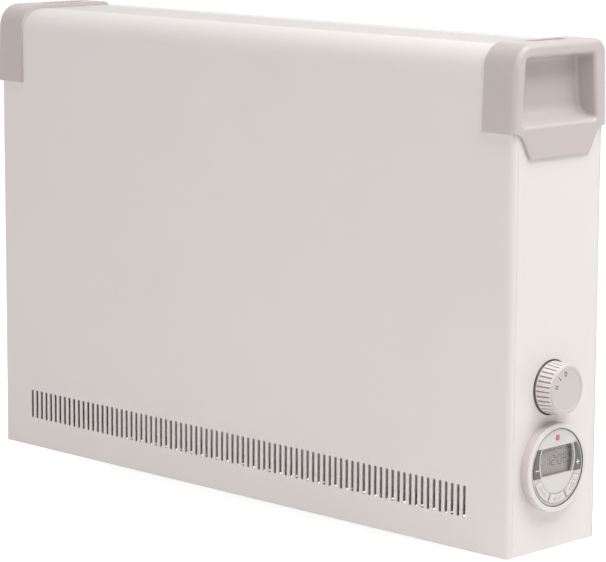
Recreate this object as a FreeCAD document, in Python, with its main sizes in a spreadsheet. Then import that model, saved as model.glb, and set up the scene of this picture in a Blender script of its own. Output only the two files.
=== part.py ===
import FreeCAD, Part
import math
import os
import Sketcher
from FreeCAD import Placement, Rotation, Vector

# Wall convector heater, millimetres.
# X runs along the wall with the controls at +X, Y points into the wall (the front faces -Y), Z is up.
# The origin lies on the wall, midway between the two wall screws.

document = FreeCAD.newDocument("wall_convector_heater")
sheet = document.addObject("Spreadsheet::Sheet", "Sizes")

sizes = [
    # casing
    ("body_width", 684, "casing over the two end panels"),
    ("body_depth", 118.5, "casing from front face to back panel"),
    ("body_height", 447, "casing from base to top, without the handles"),
    ("wall_gap", 12, "back panel to wall"),
    ("fixing_height", 352, "wall screws above the base"),
    ("steel", 1, "sheet steel thickness"),
    ("edge_radius", 5, "rolled end edges of the front casing"),
    ("roll_radius", 25, "roll from front face to top"),
    ("lip_round", 8, "top corner inside the end lips"),
    ("seam", 0.25, "open seam between sheet panels"),
    ("fit", 0.5, "clearance between pieces that pass each other"),
    ("slide", 0.2, "clearance of a moulding on steel or of a button in its hole"),
    ("snug", 0.05, "clearance of a screw in its thread or of a hub on its shaft"),
    ("flange", 12, "flange of the end panels, back panel and brackets"),
    ("bend", 1.2, "outer bend radius of the end panels"),
    # air slots
    ("slot_count", 83, "slots in each row"),
    ("slot_margin", 47.2, "end of the casing to the first slot"),
    ("slot_shift", 3.6, "rows sit this much towards the plain end"),
    ("inlet_width", 3.3, "front inlet slot"),
    ("inlet_length", 29, "front inlet slot"),
    ("inlet_height", 44, "middle of the inlet row above the base"),
    ("outlet_width", 2.4, "top outlet slot"),
    ("outlet_length", 68, "top outlet slot"),
    ("outlet_setback", 66, "middle of the outlet row behind the front"),
    ("base_slots", 28, "air slots in the base plate"),
    ("base_slot_width", 8, "one base slot"),
    ("base_slot_length", 70, "one base slot"),
    # handles
    ("handle_reach", 34, "handle over the front, from the end panel"),
    ("handle_end", 3, "handle proud of the end panel"),
    ("handle_front", 3.4, "handle proud of the front"),
    ("handle_rear", 4.5, "handle proud of the back panel"),
    ("handle_top", 3.5, "handle proud of the top"),
    ("handle_drop", 73.3, "handle skirt below the casing top"),
    ("handle_lean", 3, "front and rear of the handle lean in by this at the top"),
    ("handle_roll", 22, "handle's front top corner"),
    ("handle_rear_roll", 13, "handle's rear top corner"),
    ("handle_edge", 4.8, "rounding round the handle's end face"),
    ("tab_drop", 96, "tab below the casing top"),
    ("tab_root", 105, "tab width at the skirt"),
    ("tab_tip", 80, "tab width at its lower edge"),
    ("tab_round", 4, "tab's lower corners"),
    ("tab_root_round", 12, "tab corners at the skirt"),
    ("tab_edge", 1, "rounded edge of the tab's face"),
    ("grip_front", 8.2, "front face to the hand-hold at its sill"),
    ("grip_rear", 10, "back panel to the hand-hold at its sill"),
    ("grip_taper", 4, "hand-hold narrows by this on each side"),
    ("grip_top", 8.5, "casing top to the hand-hold's upper edge"),
    ("grip_sill", 67.5, "casing top to the hand-hold's lower edge"),
    ("grip_slope", 3, "rise of the sill from face to back wall"),
    ("grip_depth", 20, "hand-hold depth"),
    ("grip_draft", 3, "hand-hold sides draw in by this at the back wall"),
    ("grip_wall", 2, "wall of the hand-hold cup"),
    ("grip_scoop", 14, "sill turns up into the back wall"),
    ("grip_round", 3.5, "inner edges of the hand-hold"),
    ("grip_rim", 4, "rounded rim of the hand-hold"),
    ("thumb_length", 48, "thumb hollow on the handle top"),
    ("thumb_width", 13, "thumb hollow"),
    ("thumb_depth", 2, "thumb hollow"),
    ("thumb_inset", 20, "thumb hollow from the end panel"),
    # heat selector
    ("control_inset", 56.2, "knob and timer axes behind the front"),
    ("knob_height", 146.6, "knob axis above the base"),
    ("knob_radius", 23.8, "knob skirt"),
    ("knob_face", 20.9, "knob face radius"),
    ("knob_proud", 18.2, "knob face proud of the end panel"),
    ("knob_sink", 3, "knob skirt reaches this far behind the panel face"),
    ("knob_gap", 1.1, "open ring between knob and panel"),
    ("knob_dish", 18.6, "radius of the shallow dish in the knob face"),
    ("dish_depth", 0.4, "shallow dish in the knob face"),
    ("knob_wall", 2, "knob moulding"),
    ("knob_hub", 6.5, "knob hub radius"),
    ("flute_count", 32, "finger flutes round the knob"),
    ("flute_radius", 0.75, "one flute"),
    ("flute_depth", 0.75, "one flute"),
    ("flute_land", 2.4, "plain land before and behind the flutes"),
    ("shaft_radius", 3, "switch shaft"),
    ("shaft_length", 42, "switch shaft"),
    ("running", 0.08, "clearance of the shaft in its bush"),
    ("bush_radius", 5, "threaded bush of the switch"),
    ("bush_length", 9, "threaded bush of the switch"),
    ("switch_size", 32, "switch body, square"),
    ("switch_depth", 18, "switch body"),
    ("switch_inset", 22, "switch plate behind the end panel"),
    ("switch_strip", 24, "width of the switch plate"),
    ("nut_width", 14, "switch nut across flats"),
    ("nut_height", 3, "switch nut"),
    # timer
    ("timer_height", 75.6, "timer axis above the base"),
    ("bezel_radius", 40, "timer bezel"),
    ("bezel_proud", 9, "timer bezel proud of the end panel"),
    ("bezel_rim", 4.8, "width of the bezel rim"),
    ("bezel_round", 1, "outer rounding of the rim"),
    ("barrel_radius", 36.6, "timer barrel behind the panel"),
    ("barrel_wall", 2, "timer barrel wall"),
    ("barrel_depth", 24, "timer barrel behind the panel face"),
    ("groove", 0.7, "open groove between rim and face plate"),
    ("ledge", 1.3, "ledge that carries the face plate"),
    ("face_thickness", 2.6, "timer face plate"),
    ("face_sink", 0.8, "face plate below the rim"),
    ("screen_width", 40.5, "display window"),
    ("screen_height", 25.5, "display window"),
    ("screen_rise", 6.5, "middle of the window above the timer axis"),
    ("screen_bow", 28, "radius of the window's bowed sides"),
    ("screen_web", 2, "white web between window and side buttons"),
    ("lens_thickness", 1.8, "display window pane"),
    ("lens_lip", 1, "lip behind the window pane"),
    ("side_border", 1.9, "white border outside a side button"),
    ("key_outer", 32.3, "outer radius of the curved keys"),
    ("key_inner", 23.3, "inner radius of the curved keys"),
    ("key_span", 45.2, "angle of one curved key, degrees"),
    ("key_step", 47.5, "angle between the curved keys, degrees"),
    ("key_proud", 0.7, "buttons proud of the face plate"),
    ("key_travel", 0.6, "button travel"),
    ("key_flange", 0.8, "flange that holds a button behind the face"),
    ("flange_thickness", 1.1, "flange that holds a button behind the face"),
    ("stem_radius", 1.7, "stem under a button"),
    ("board_thickness", 1.6, "timer circuit board"),
    ("board_drop", 14.6, "circuit board below the face plate"),
    ("tact_size", 6, "tact switch on the board"),
    ("tact_height", 3.5, "tact switch body"),
    ("tact_button", 1, "tact switch plunger"),
    ("lamp_radius", 2.7, "indicator lamp"),
    ("lamp_dome", 0.8, "indicator lamp's tip proud of the face plate"),
    ("lamp_rise", 26.8, "indicator lamp above the timer axis"),
    ("post_radius", 2, "posts that carry the circuit board"),
    # heating
    ("control_bay", 46, "end panel to the partition"),
    ("element_height", 205, "lower heating element above the base"),
    ("element_step", 46, "upper element above the lower one"),
    ("element_legs", 36, "distance between the two legs of an element"),
    ("element_radius", 4.2, "sheathed element tube"),
    ("element_margin", 30, "end panel to the element's bend"),
    ("pin_radius", 1.6, "terminal pin of an element"),
    ("pin_length", 9, "terminal pin of an element"),
    ("fin_count", 32, "fins on one element"),
    ("fin_thickness", 0.8, "one fin"),
    ("fin_height", 32, "one fin"),
    ("fin_overhang", 12, "fin beyond the element legs"),
    ("bushing_radius", 7, "ceramic bush of an element leg"),
    ("bushing_length", 9, "ceramic bush of an element leg"),
    ("shield_gap", 12, "heat shield ahead of the back panel"),
    ("shield_low", 150, "lower edge of the heat shield above the base"),
    ("shield_high", 400, "upper edge of the heat shield above the base"),
    ("cutout_radius", 8.5, "thermal cut-out"),
    ("cutout_depth", 10, "thermal cut-out"),
    ("cutout_height", 305, "thermal cut-out above the base"),
    # supply
    ("gland_height", 24, "cable gland above the base"),
    ("gland_inset", 28, "cable gland from the end panel"),
    ("gland_bore", 4, "cable gland bore radius"),
    ("gland_radius", 7.5, "cable gland barrel"),
    ("gland_length", 16, "cable gland barrel"),
    ("gland_collar", 10.5, "cable gland collar and nut, radius to the corners"),
    ("gland_flange", 3, "cable gland flange outside the back panel"),
    ("block_length", 30, "terminal block"),
    ("block_height", 20, "terminal block"),
    ("block_depth", 14, "terminal block"),
    ("wire_radius", 1.3, "inner wiring"),
    ("wire_bend", 4, "bends of the inner wiring"),
    ("tag_lane", 2, "partition to the wires at the switch tags"),
    ("inner_lane", 7, "partition to the first run of wires"),
    ("middle_lane", 12.5, "partition to the second run of wires"),
    ("outer_lane", 22, "partition to the wires at the element pins"),
    # wall fixing
    ("bracket_length", 420, "wall bracket"),
    ("bracket_height", 36, "wall bracket"),
    ("bracket_steel", 2, "wall bracket thickness"),
    ("screw_spacing", 360, "wall screws"),
    ("screw_hole", 3.25, "wall screw hole radius"),
    ("hook_spacing", 240, "hooks of the wall bracket"),
    ("hook_width", 24, "one hook"),
    ("hook_lip", 12, "upturned lip of a hook"),
    ("buffer_radius", 9, "lower wall buffer"),
    ("buffer_spread", 500, "distance between the lower wall buffers"),
    ("buffer_height", 30, "lower wall buffers above the base"),
    # screws
    ("thread_radius", 1.8, "self-tapping screw"),
    ("thread_length", 9, "self-tapping screw"),
    ("head_radius", 3.8, "self-tapping screw head"),
    ("head_height", 2.2, "self-tapping screw head"),
    ("screw_inset", 7, "case screws from the end panel"),
    ("seat", 1.3, "handle screw seat behind the back panel"),
]
for row, (alias, amount, meaning) in enumerate(sizes, 1):
    sheet.set(f"A{row}", meaning)
    sheet.set(f"B{row}", str(amount))
    sheet.setAlias(f"B{row}", alias)
document.recompute()

# places that many pieces share, as expressions on the sheet
half_x = "(Sizes.body_width / 2)"
front_y = "(-Sizes.wall_gap - Sizes.body_depth)"
back_y = "(-Sizes.wall_gap)"
mid_y = "(-Sizes.wall_gap - Sizes.body_depth / 2)"
base_z = "(-Sizes.fixing_height)"
top_z = "(Sizes.body_height - Sizes.fixing_height)"
control_y = f"({front_y} + Sizes.control_inset)"
knob_z = f"({base_z} + Sizes.knob_height)"
timer_z = f"({base_z} + Sizes.timer_height)"
skirt_z = f"({top_z} - Sizes.handle_drop)"
crown_z = f"({top_z} + Sizes.handle_top)"
inner_back_y = f"({back_y} - Sizes.steel)"
floor_z = f"({base_z} + 2 * Sizes.steel)"
end_return = "(Sizes.grip_front - Sizes.grip_wall - Sizes.fit)"
top_return = "(Sizes.grip_top - Sizes.grip_wall - Sizes.fit)"
panel_front_y = f"({front_y} + {end_return} + Sizes.seam)"
panel_top_z = f"({top_z} - Sizes.grip_sill - Sizes.grip_wall - Sizes.fit)"
partition_x = f"({half_x} - Sizes.control_bay)"
shield_y = f"({inner_back_y} - Sizes.shield_gap)"
slot_run = "(Sizes.body_width - 2 * Sizes.slot_margin)"

# local axes of the controls: x to the back, y up, z out of the end panel
outward = Rotation(Vector(1, 1, 1), 120)
along_x = Rotation(Vector(0, 1, 0), 90)
along_y = Rotation(Vector(1, 0, 0), -90)
along_z = Rotation()

# edges are picked by their bounding box to within this
tolerance = 0.01
nodes = []


def number(text):
    return float(sheet.evalExpression(text))


def keep(item, name):
    item.Label = name
    nodes.append(item)
    return item


def place(item, rotation, x="0", y="0", z="0"):
    item.Placement = Placement(Vector(number(x), number(y), number(z)), rotation)
    for axis, text in zip("xyz", (x, y, z)):
        item.setExpression(f"Placement.Base.{axis}", text)
    return item


def primitive(kind, name, rotation, x, y, z, **lengths):
    item = document.addObject(f"Part::{kind}", name)
    for prop, text in lengths.items():
        item.setExpression(prop, text)
    return place(item, rotation, x, y, z)


def box(name, x, y, z, length, width, height):
    return primitive("Box", name, along_z, x, y, z, Length=length, Width=width, Height=height)


def cylinder(name, rotation, x, y, z, radius, height):
    return primitive("Cylinder", name, rotation, x, y, z, Radius=radius, Height=height)


def fuse(name, *items):
    item = document.addObject("Part::MultiFuse", name)
    item.Shapes = list(items)
    return item


def common(name, *items):
    item = document.addObject("Part::MultiCommon", name)
    item.Shapes = list(items)
    return item


def cut(name, base, *tools):
    item = document.addObject("Part::Cut", name)
    item.Base = base
    item.Tool = tools[0] if len(tools) == 1 else fuse(f"{name}_tools", *tools)
    return item


def group(name, *items):
    item = document.addObject("Part::Compound", name)
    item.Links = list(items)
    return item


# PartDesign helpers
def new_body(name):
    return document.addObject("PartDesign::Body", name)


def origin(body, role):
    return next(item for item in body.Origin.OriginFeatures if item.Role == role)


def sketch_on(body, role, name, offset="0"):
    sketch = body.newObject("Sketcher::SketchObject", name)
    sketch.AttachmentSupport = [(origin(body, role), "")]
    sketch.MapMode = "FlatFace"
    sketch.setExpression("AttachmentOffset.Base.z", offset)
    return sketch


def dimension(sketch, kind, text, *where):
    index = sketch.addConstraint(Sketcher.Constraint(kind, *where, number(text)))
    sketch.setExpression(f"Constraints[{index}]", text)


def pin(sketch, geometry, end, x, y):
    dimension(sketch, "DistanceX", x, -1, 1, geometry, end)
    dimension(sketch, "DistanceY", y, -1, 1, geometry, end)


def polygon(sketch, corners):
    first = sketch.GeometryCount
    points = [Vector(number(x), number(y), 0) for x, y in corners]
    count = len(points)
    for index in range(count):
        sketch.addGeometry(Part.LineSegment(points[index], points[(index + 1) % count]))
    for index in range(count):
        following = first + (index + 1) % count
        sketch.addConstraint(Sketcher.Constraint("Coincident", first + index, 2, following, 1))
    for index, (x, y) in enumerate(corners):
        pin(sketch, first + index, 1, x, y)


def rectangle(sketch, x0, y0, x1, y1):
    polygon(sketch, [(x0, y0), (x1, y0), (x1, y1), (x0, y1)])


def hexagon(sketch, x, y, corner):
    turns = range(0, 360, 60)
    polygon(sketch, [(f"{x} + {corner} * cos({turn})", f"{y} + {corner} * sin({turn})") for turn in turns])


def circle(sketch, x, y, radius):
    centre = Vector(number(x), number(y), 0)
    index = sketch.addGeometry(Part.Circle(centre, Vector(0, 0, 1), number(radius)))
    pin(sketch, index, 3, x, y)
    dimension(sketch, "Radius", radius, index)


def slot(sketch, x, y, length, width, across=False):
    # two lines and two half circles; the slot runs along the sketch's y, or its x if across
    radius = number(width) / 2
    reach = number(length) / 2 - radius
    centre = Vector(number(x), number(y), 0)
    along = Vector(1, 0, 0) if across else Vector(0, 1, 0)
    side = Vector(along.y, -along.x, 0)
    start = 0 if not across else -math.pi / 2
    first = sketch.GeometryCount
    far = centre + along * reach
    near = centre - along * reach
    sketch.addGeometry(Part.LineSegment(near + side * radius, far + side * radius))
    far_round = Part.Circle(far, Vector(0, 0, 1), radius)
    sketch.addGeometry(Part.ArcOfCircle(far_round, start, start + math.pi))
    sketch.addGeometry(Part.LineSegment(far - side * radius, near - side * radius))
    near_round = Part.Circle(near, Vector(0, 0, 1), radius)
    sketch.addGeometry(Part.ArcOfCircle(near_round, start + math.pi, start + 2 * math.pi))
    for index in range(4):
        following = first + (index + 1) % 4
        sketch.addConstraint(Sketcher.Constraint("Tangent", first + index, 2, following, 1))
    middle = f"({length} / 2 - {width} / 2)"
    for index, sign in ((first + 1, "+"), (first + 3, "-")):
        if across:
            pin(sketch, index, 3, f"{x} {sign} {middle}", y)
        else:
            pin(sketch, index, 3, x, f"{y} {sign} {middle}")
    dimension(sketch, "Radius", f"{width} / 2", first + 1)


def rolled_outline(sketch, x0, y0, x1, y1, radius):
    # a rectangle whose corner at (x0, y1) is rolled over by an arc
    left, low, right, high = (number(text) for text in (x0, y0, x1, y1))
    r = number(radius)
    first = sketch.GeometryCount
    roll = Part.Circle(Vector(left + r, high - r, 0), Vector(0, 0, 1), r)
    sketch.addGeometry(Part.LineSegment(Vector(left, low, 0), Vector(right, low, 0)))
    sketch.addGeometry(Part.LineSegment(Vector(right, low, 0), Vector(right, high, 0)))
    sketch.addGeometry(Part.LineSegment(Vector(right, high, 0), Vector(left + r, high, 0)))
    sketch.addGeometry(Part.ArcOfCircle(roll, math.pi / 2, math.pi))
    sketch.addGeometry(Part.LineSegment(Vector(left, high - r, 0), Vector(left, low, 0)))
    for index, kind in enumerate(("Coincident", "Coincident", "Tangent", "Tangent", "Coincident")):
        following = first + (index + 1) % 5
        sketch.addConstraint(Sketcher.Constraint(kind, first + index, 2, following, 1))
    pin(sketch, first, 1, x0, y0)
    pin(sketch, first + 1, 1, x1, y0)
    pin(sketch, first + 2, 1, x1, y1)
    sketch.addConstraint(Sketcher.Constraint("Horizontal", first + 2))
    sketch.addConstraint(Sketcher.Constraint("Vertical", first + 4))
    dimension(sketch, "Radius", radius, first + 3)


def feature(body, kind, name, sketch, length=None, backwards=False, both_ways=False):
    item = body.newObject(f"PartDesign::{kind}", name)
    item.Profile = sketch
    if length is None:
        item.Type = "ThroughAll"
    else:
        item.setExpression("Length", length)
    item.Reversed = backwards
    if both_ways:
        item.SideType = "Symmetric"
    document.recompute()
    return item


def pad(body, name, sketch, length, **options):
    return feature(body, "Pad", name, sketch, length, **options)


def pocket(body, name, sketch, length=None, **options):
    return feature(body, "Pocket", name, sketch, length, **options)


def row_of(body, name, original, sketch, length, count, axis="H_Axis"):
    item = body.newObject("PartDesign::LinearPattern", name)
    item.Originals = [original]
    item.Direction = (sketch, [axis])
    item.setExpression("Length", length)
    item.setExpression("Occurrences", count)
    body.Tip = item
    document.recompute()
    return item


def ring_of(body, name, original, axis, count):
    item = body.newObject("PartDesign::PolarPattern", name)
    item.Originals = [original]
    item.Axis = axis
    item.Angle = 360
    item.setExpression("Occurrences", count)
    body.Tip = item
    document.recompute()
    return item


def turned(body, name, sketch, axis):
    item = body.newObject("PartDesign::Revolution", name)
    item.Profile = sketch
    item.ReferenceAxis = (sketch, [axis])
    item.Angle = 360
    document.recompute()
    return item


def rounded(body, name, wanted, radius):
    base = body.Tip
    found = [f"Edge{index}" for index, edge in enumerate(base.Shape.Edges, 1) if wanted(edge.BoundBox)]
    item = body.newObject("PartDesign::Fillet", name)
    item.Base = (base, found)
    item.setExpression("Radius", radius)
    document.recompute()
    return item


def same(first, second):
    return abs(first - second) < tolerance


def near(value, text):
    return same(value, number(text))


# screws at shares of the end panel's and the handle's height
case_screw_heights = [
    f"({base_z} + (Sizes.body_height - Sizes.tab_drop) * {share})" for share in (0.1, 0.5, 0.9)
]
handle_screw_heights = [f"({top_z} - Sizes.handle_drop * {share})" for share in (0.4, 0.8)]


def case_screw_x(side):
    return f"{side} * ({half_x} - Sizes.screw_inset)"


def handle_screw_x(side):
    return f"{side} * ({half_x} - Sizes.handle_reach / 2)"


# front casing: one sheet that makes the front, the roll and the top, with returned lips
def casing_block(name, inset, length):
    body = new_body(name)
    sketch = sketch_on(body, "YZ_Plane", f"{name}_profile")
    low, high = f"{base_z} + {inset}", f"{top_z} - {inset}"
    rectangle(sketch, f"{front_y} + {inset}", low, f"{back_y} - {inset}", high)
    pad(body, f"{name}_pad", sketch, length, both_ways=True)
    rounded(
        body,
        f"{name}_roll",
        lambda b: near(b.YMax, f"{front_y} + {inset}") and near(b.ZMin, high) and b.XLength > 1,
        f"Sizes.roll_radius - {inset}",
    )
    rounded(
        body,
        f"{name}_ends",
        lambda b: same(b.XMin, b.XMax) and not (near(b.YMin, f"{back_y} - {inset}") or near(b.ZMax, low)),
        f"Sizes.edge_radius - {inset}",
    )
    return body


def front_casing():
    body = casing_block("casing_outside", "0", "Sizes.body_width")
    opening = sketch_on(body, "YZ_Plane", "lip_outline")
    rolled_outline(
        opening,
        f"{front_y} + {end_return}",
        f"{base_z} - Sizes.steel",
        f"{back_y} + Sizes.steel",
        f"{top_z} - {top_return}",
        "Sizes.lip_round",
    )
    pocket(body, "lips", opening, both_ways=True)
    first_x = f"-{slot_run} / 2 - Sizes.slot_shift"
    inlet = sketch_on(body, "XZ_Plane", "inlet_outline", f"-{front_y}")
    slot(inlet, first_x, f"{base_z} + Sizes.inlet_height", "Sizes.inlet_length", "Sizes.inlet_width")
    inlet_cut = pocket(body, "inlet", inlet, "3 * Sizes.steel")
    row_of(body, "inlet_row", inlet_cut, inlet, slot_run, "Sizes.slot_count")
    outlet = sketch_on(body, "XY_Plane", "outlet_outline", top_z)
    slot(outlet, first_x, f"{front_y} + Sizes.outlet_setback", "Sizes.outlet_length", "Sizes.outlet_width")
    outlet_cut = pocket(body, "outlet", outlet, "3 * Sizes.steel")
    row_of(body, "outlet_row", outlet_cut, outlet, slot_run, "Sizes.slot_count")
    inside = casing_block("casing_inside", "Sizes.steel", "Sizes.body_width - 2 * Sizes.steel")
    keep(cut("front_casing", body, inside), "front_casing")


# end panels: pressed trays, flush with the front casing's lips
def end_panel(name, side, holes=()):
    body = new_body(name)
    left = side < 0
    outline = sketch_on(body, "YZ_Plane", f"{name}_outline", f"{side} * {half_x}")
    rectangle(outline, panel_front_y, base_z, inner_back_y, panel_top_z)
    pad(body, f"{name}_block", outline, "Sizes.flange", backwards=not left)
    rounded(
        body,
        f"{name}_bend",
        lambda b: same(b.XMin, b.XMax) and near(b.XMin, f"{side} * {half_x}"),
        "Sizes.bend",
    )
    hollow = sketch_on(body, "YZ_Plane", f"{name}_hollow", f"{side} * ({half_x} - Sizes.flange)")
    rectangle(
        hollow,
        f"{panel_front_y} + Sizes.steel",
        f"{base_z} + Sizes.steel",
        f"{inner_back_y} - Sizes.steel",
        f"{panel_top_z} - Sizes.steel",
    )
    pocket(body, f"{name}_tray", hollow, "Sizes.flange - Sizes.steel", backwards=not left)
    face = sketch_on(body, "YZ_Plane", f"{name}_holes", f"{side} * {half_x}")
    for y, z, radius in holes:
        circle(face, y, z, radius)
    if holes:
        pocket(body, f"{name}_hole_cut", face, "2 * Sizes.steel", backwards=left)
    screws = sketch_on(body, "XZ_Plane", f"{name}_screws", f"-{inner_back_y}")
    for z in case_screw_heights:
        circle(screws, case_screw_x(side), z, "Sizes.thread_radius + Sizes.snug")
    pocket(body, f"{name}_screw_holes", screws, "2 * Sizes.steel", backwards=True)
    keep(body, name)


# back panel: flat sheet with hook slots, a gland hole and a bottom flange
def back_panel():
    body = new_body("back_panel")
    outline = sketch_on(body, "XZ_Plane", "back_outline", f"-{back_y}")
    high = f"{top_z} - {top_return} - Sizes.seam"
    rectangle(outline, f"-{half_x}", base_z, half_x, high)
    pad(body, "back_sheet", outline, "Sizes.steel")
    foot = sketch_on(body, "XY_Plane", "back_foot", base_z)
    reach = f"({half_x} - Sizes.flange - Sizes.fit)"
    rectangle(foot, f"-{reach}", f"{inner_back_y} - Sizes.flange", reach, inner_back_y)
    pad(body, "back_flange", foot, "Sizes.steel")
    holes = sketch_on(body, "XZ_Plane", "back_holes", f"-{back_y}")
    hook_z = "Sizes.bracket_height / 2"
    for side in (-1, 1):
        middle = f"{side} * Sizes.hook_spacing / 2"
        rectangle(
            holes,
            f"{middle} - Sizes.hook_width / 2 - Sizes.fit",
            f"{hook_z} - Sizes.hook_lip - Sizes.bracket_steel - 4 * Sizes.fit",
            f"{middle} + Sizes.hook_width / 2 + Sizes.fit",
            hook_z,
        )
        for z in case_screw_heights:
            circle(holes, case_screw_x(side), z, "Sizes.thread_radius + Sizes.slide")
        for z in handle_screw_heights:
            circle(holes, handle_screw_x(side), z, "Sizes.thread_radius + Sizes.snug")
        buffer_x = f"{side} * Sizes.buffer_spread / 2"
        circle(holes, buffer_x, f"{base_z} + Sizes.buffer_height", "Sizes.buffer_radius / 2 + Sizes.slide")
    gland_x = f"({half_x} - Sizes.gland_inset)"
    circle(holes, gland_x, f"{base_z} + Sizes.gland_height", "Sizes.gland_radius + Sizes.slide")
    pocket(body, "back_hole_cut", holes, "2 * Sizes.steel", both_ways=True)
    keep(body, "back_panel")


# base plate: rests on the front casing's lip and the back panel's flange
def base_plate():
    body = new_body("base_plate")
    reach = f"({half_x} - Sizes.flange - Sizes.fit)"
    outline = sketch_on(body, "XY_Plane", "base_outline", f"{base_z} + Sizes.steel")
    low_y = f"{front_y} + Sizes.steel + Sizes.fit"
    rectangle(outline, f"-{reach}", low_y, reach, f"{inner_back_y} - Sizes.fit")
    pad(body, "base_sheet", outline, "Sizes.steel")
    opening = sketch_on(body, "XY_Plane", "base_slot", floor_z)
    run = "(Sizes.body_width - 4 * Sizes.control_bay)"
    slot(opening, f"-{run} / 2", mid_y, "Sizes.base_slot_length", "Sizes.base_slot_width")
    opening_cut = pocket(body, "base_slot_cut", opening, "2 * Sizes.steel")
    row_of(body, "base_slot_row", opening_cut, opening, run, "Sizes.base_slots")
    keep(body, "base_plate")


# handles: moulded caps over the top corners, each with a hand-hold in its end face
def handle(name, side):
    body = new_body(name)
    left = side < 0
    inner_x = f"{side} * ({half_x} - Sizes.handle_reach)"
    outer_x = f"{side} * ({half_x} + Sizes.handle_end)"
    low_front = f"{front_y} - Sizes.handle_front"
    low_back = f"{back_y} + Sizes.handle_rear"
    outline = sketch_on(body, "YZ_Plane", f"{name}_outline", inner_x)
    polygon(
        outline,
        [
            (low_front, skirt_z),
            (low_back, skirt_z),
            (f"{low_back} - Sizes.handle_lean", crown_z),
            (f"{low_front} + Sizes.handle_lean", crown_z),
        ],
    )
    pad(body, f"{name}_block", outline, "Sizes.handle_reach + Sizes.handle_end", backwards=left)
    long_edge = number("Sizes.handle_reach")

    def crown_edge(b, y):
        return b.XLength > long_edge and near(b.ZMin, crown_z) and near(b.YMin, y)

    rounded(
        body,
        f"{name}_front_roll",
        lambda b: crown_edge(b, f"{low_front} + Sizes.handle_lean"),
        "Sizes.handle_roll",
    )
    rounded(
        body,
        f"{name}_rear_roll",
        lambda b: crown_edge(b, f"{low_back} - Sizes.handle_lean"),
        "Sizes.handle_rear_roll",
    )
    rounded(
        body,
        f"{name}_end_round",
        lambda b: same(b.XMin, b.XMax) and near(b.XMin, outer_x) and not near(b.ZMax, skirt_z),
        "Sizes.handle_edge",
    )
    hollow = sketch_on(body, "YZ_Plane", f"{name}_hollow", inner_x)
    rolled_outline(
        hollow,
        f"{front_y} - Sizes.slide",
        f"{skirt_z} - Sizes.steel",
        f"{back_y} + Sizes.slide",
        f"{top_z} + Sizes.slide",
        "Sizes.roll_radius + Sizes.slide",
    )
    pocket(body, f"{name}_shell", hollow, "Sizes.handle_reach + Sizes.slide", backwards=not left)
    # the tab below the skirt
    tab = sketch_on(body, "YZ_Plane", f"{name}_tab_outline", f"{side} * ({half_x} + Sizes.slide)")
    tab_z = f"{top_z} - Sizes.tab_drop"
    tab_root_z = f"{skirt_z} + Sizes.handle_end"
    polygon(
        tab,
        [
            (f"{mid_y} - Sizes.tab_tip / 2", tab_z),
            (f"{mid_y} + Sizes.tab_tip / 2", tab_z),
            (f"{mid_y} + Sizes.tab_root / 2", skirt_z),
            (f"{mid_y} + Sizes.tab_root / 2", tab_root_z),
            (f"{mid_y} - Sizes.tab_root / 2", tab_root_z),
            (f"{mid_y} - Sizes.tab_root / 2", skirt_z),
        ],
    )
    pad(body, f"{name}_tab", tab, "Sizes.handle_end - Sizes.slide", backwards=left)
    through = number("Sizes.handle_end - Sizes.slide")
    tab_reach = number("Sizes.tab_root / 2") + tolerance

    def tab_corner(b, z):
        across = same(b.XLength, through) and same(b.YMin, b.YMax)
        return across and near(b.ZMin, z) and near(b.ZMax, z) and abs(b.YMin - number(mid_y)) < tab_reach

    rounded(body, f"{name}_tab_corners", lambda b: tab_corner(b, tab_z), "Sizes.tab_round")
    rounded(body, f"{name}_tab_roots", lambda b: tab_corner(b, skirt_z), "Sizes.tab_root_round")
    # the cup of the hand-hold, then the hand-hold itself
    cup = sketch_on(body, "YZ_Plane", f"{name}_cup_outline", f"{side} * ({half_x} + Sizes.slide)")
    polygon(cup, grip_corners("-Sizes.grip_wall", "Sizes.grip_sill"))
    cup_depth = "Sizes.grip_depth + Sizes.grip_wall - Sizes.handle_end + Sizes.slide"
    pad(body, f"{name}_cup", cup, cup_depth, backwards=not left)
    cup_reach = number(cup_depth)
    rounded(body, f"{name}_cup_corners", lambda b: same(b.XLength, cup_reach), "Sizes.grip_round")
    mouth = sketch_on(body, "YZ_Plane", f"{name}_mouth", outer_x)
    polygon(mouth, grip_corners("0", "Sizes.grip_sill"))
    wall_x = f"{side} * ({half_x} + Sizes.handle_end - Sizes.grip_depth)"
    wall = sketch_on(body, "YZ_Plane", f"{name}_back_wall", wall_x)
    polygon(wall, grip_corners("Sizes.grip_draft", "(Sizes.grip_sill - Sizes.grip_slope)"))
    hold = body.newObject("PartDesign::SubtractiveLoft", f"{name}_hold")
    hold.Profile = mouth
    hold.Sections = [wall]
    document.recompute()
    grip_low = number(f"{top_z} - Sizes.grip_sill - Sizes.fit")
    grip_high = number(f"{top_z} - Sizes.grip_top + Sizes.fit")
    grip_near = number(f"{front_y} + Sizes.grip_front - Sizes.fit")
    grip_far = number(f"{back_y} - Sizes.grip_rear + Sizes.fit")
    sill_back = f"{top_z} - Sizes.grip_sill + Sizes.grip_slope + Sizes.grip_draft"
    ceiling = f"{top_z} - Sizes.grip_top - Sizes.grip_draft"
    tab_high = number(tab_root_z)

    def on_face(b):
        return same(b.XMin, b.XMax) and near(b.XMin, outer_x)

    def in_hold(b):
        return b.ZMin > grip_low and b.ZMax < grip_high and b.YMin > grip_near and b.YMax < grip_far

    def scoop_edge(b):
        level = near(b.ZMin, sill_back) and near(b.ZMax, sill_back)
        return level and near(b.XMin, wall_x) and near(b.XMax, wall_x)

    def hold_edge(b):
        across = b.YLength > number("Sizes.grip_depth") and not near(b.ZMin, ceiling)
        return in_hold(b) and not on_face(b) and not across

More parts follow.
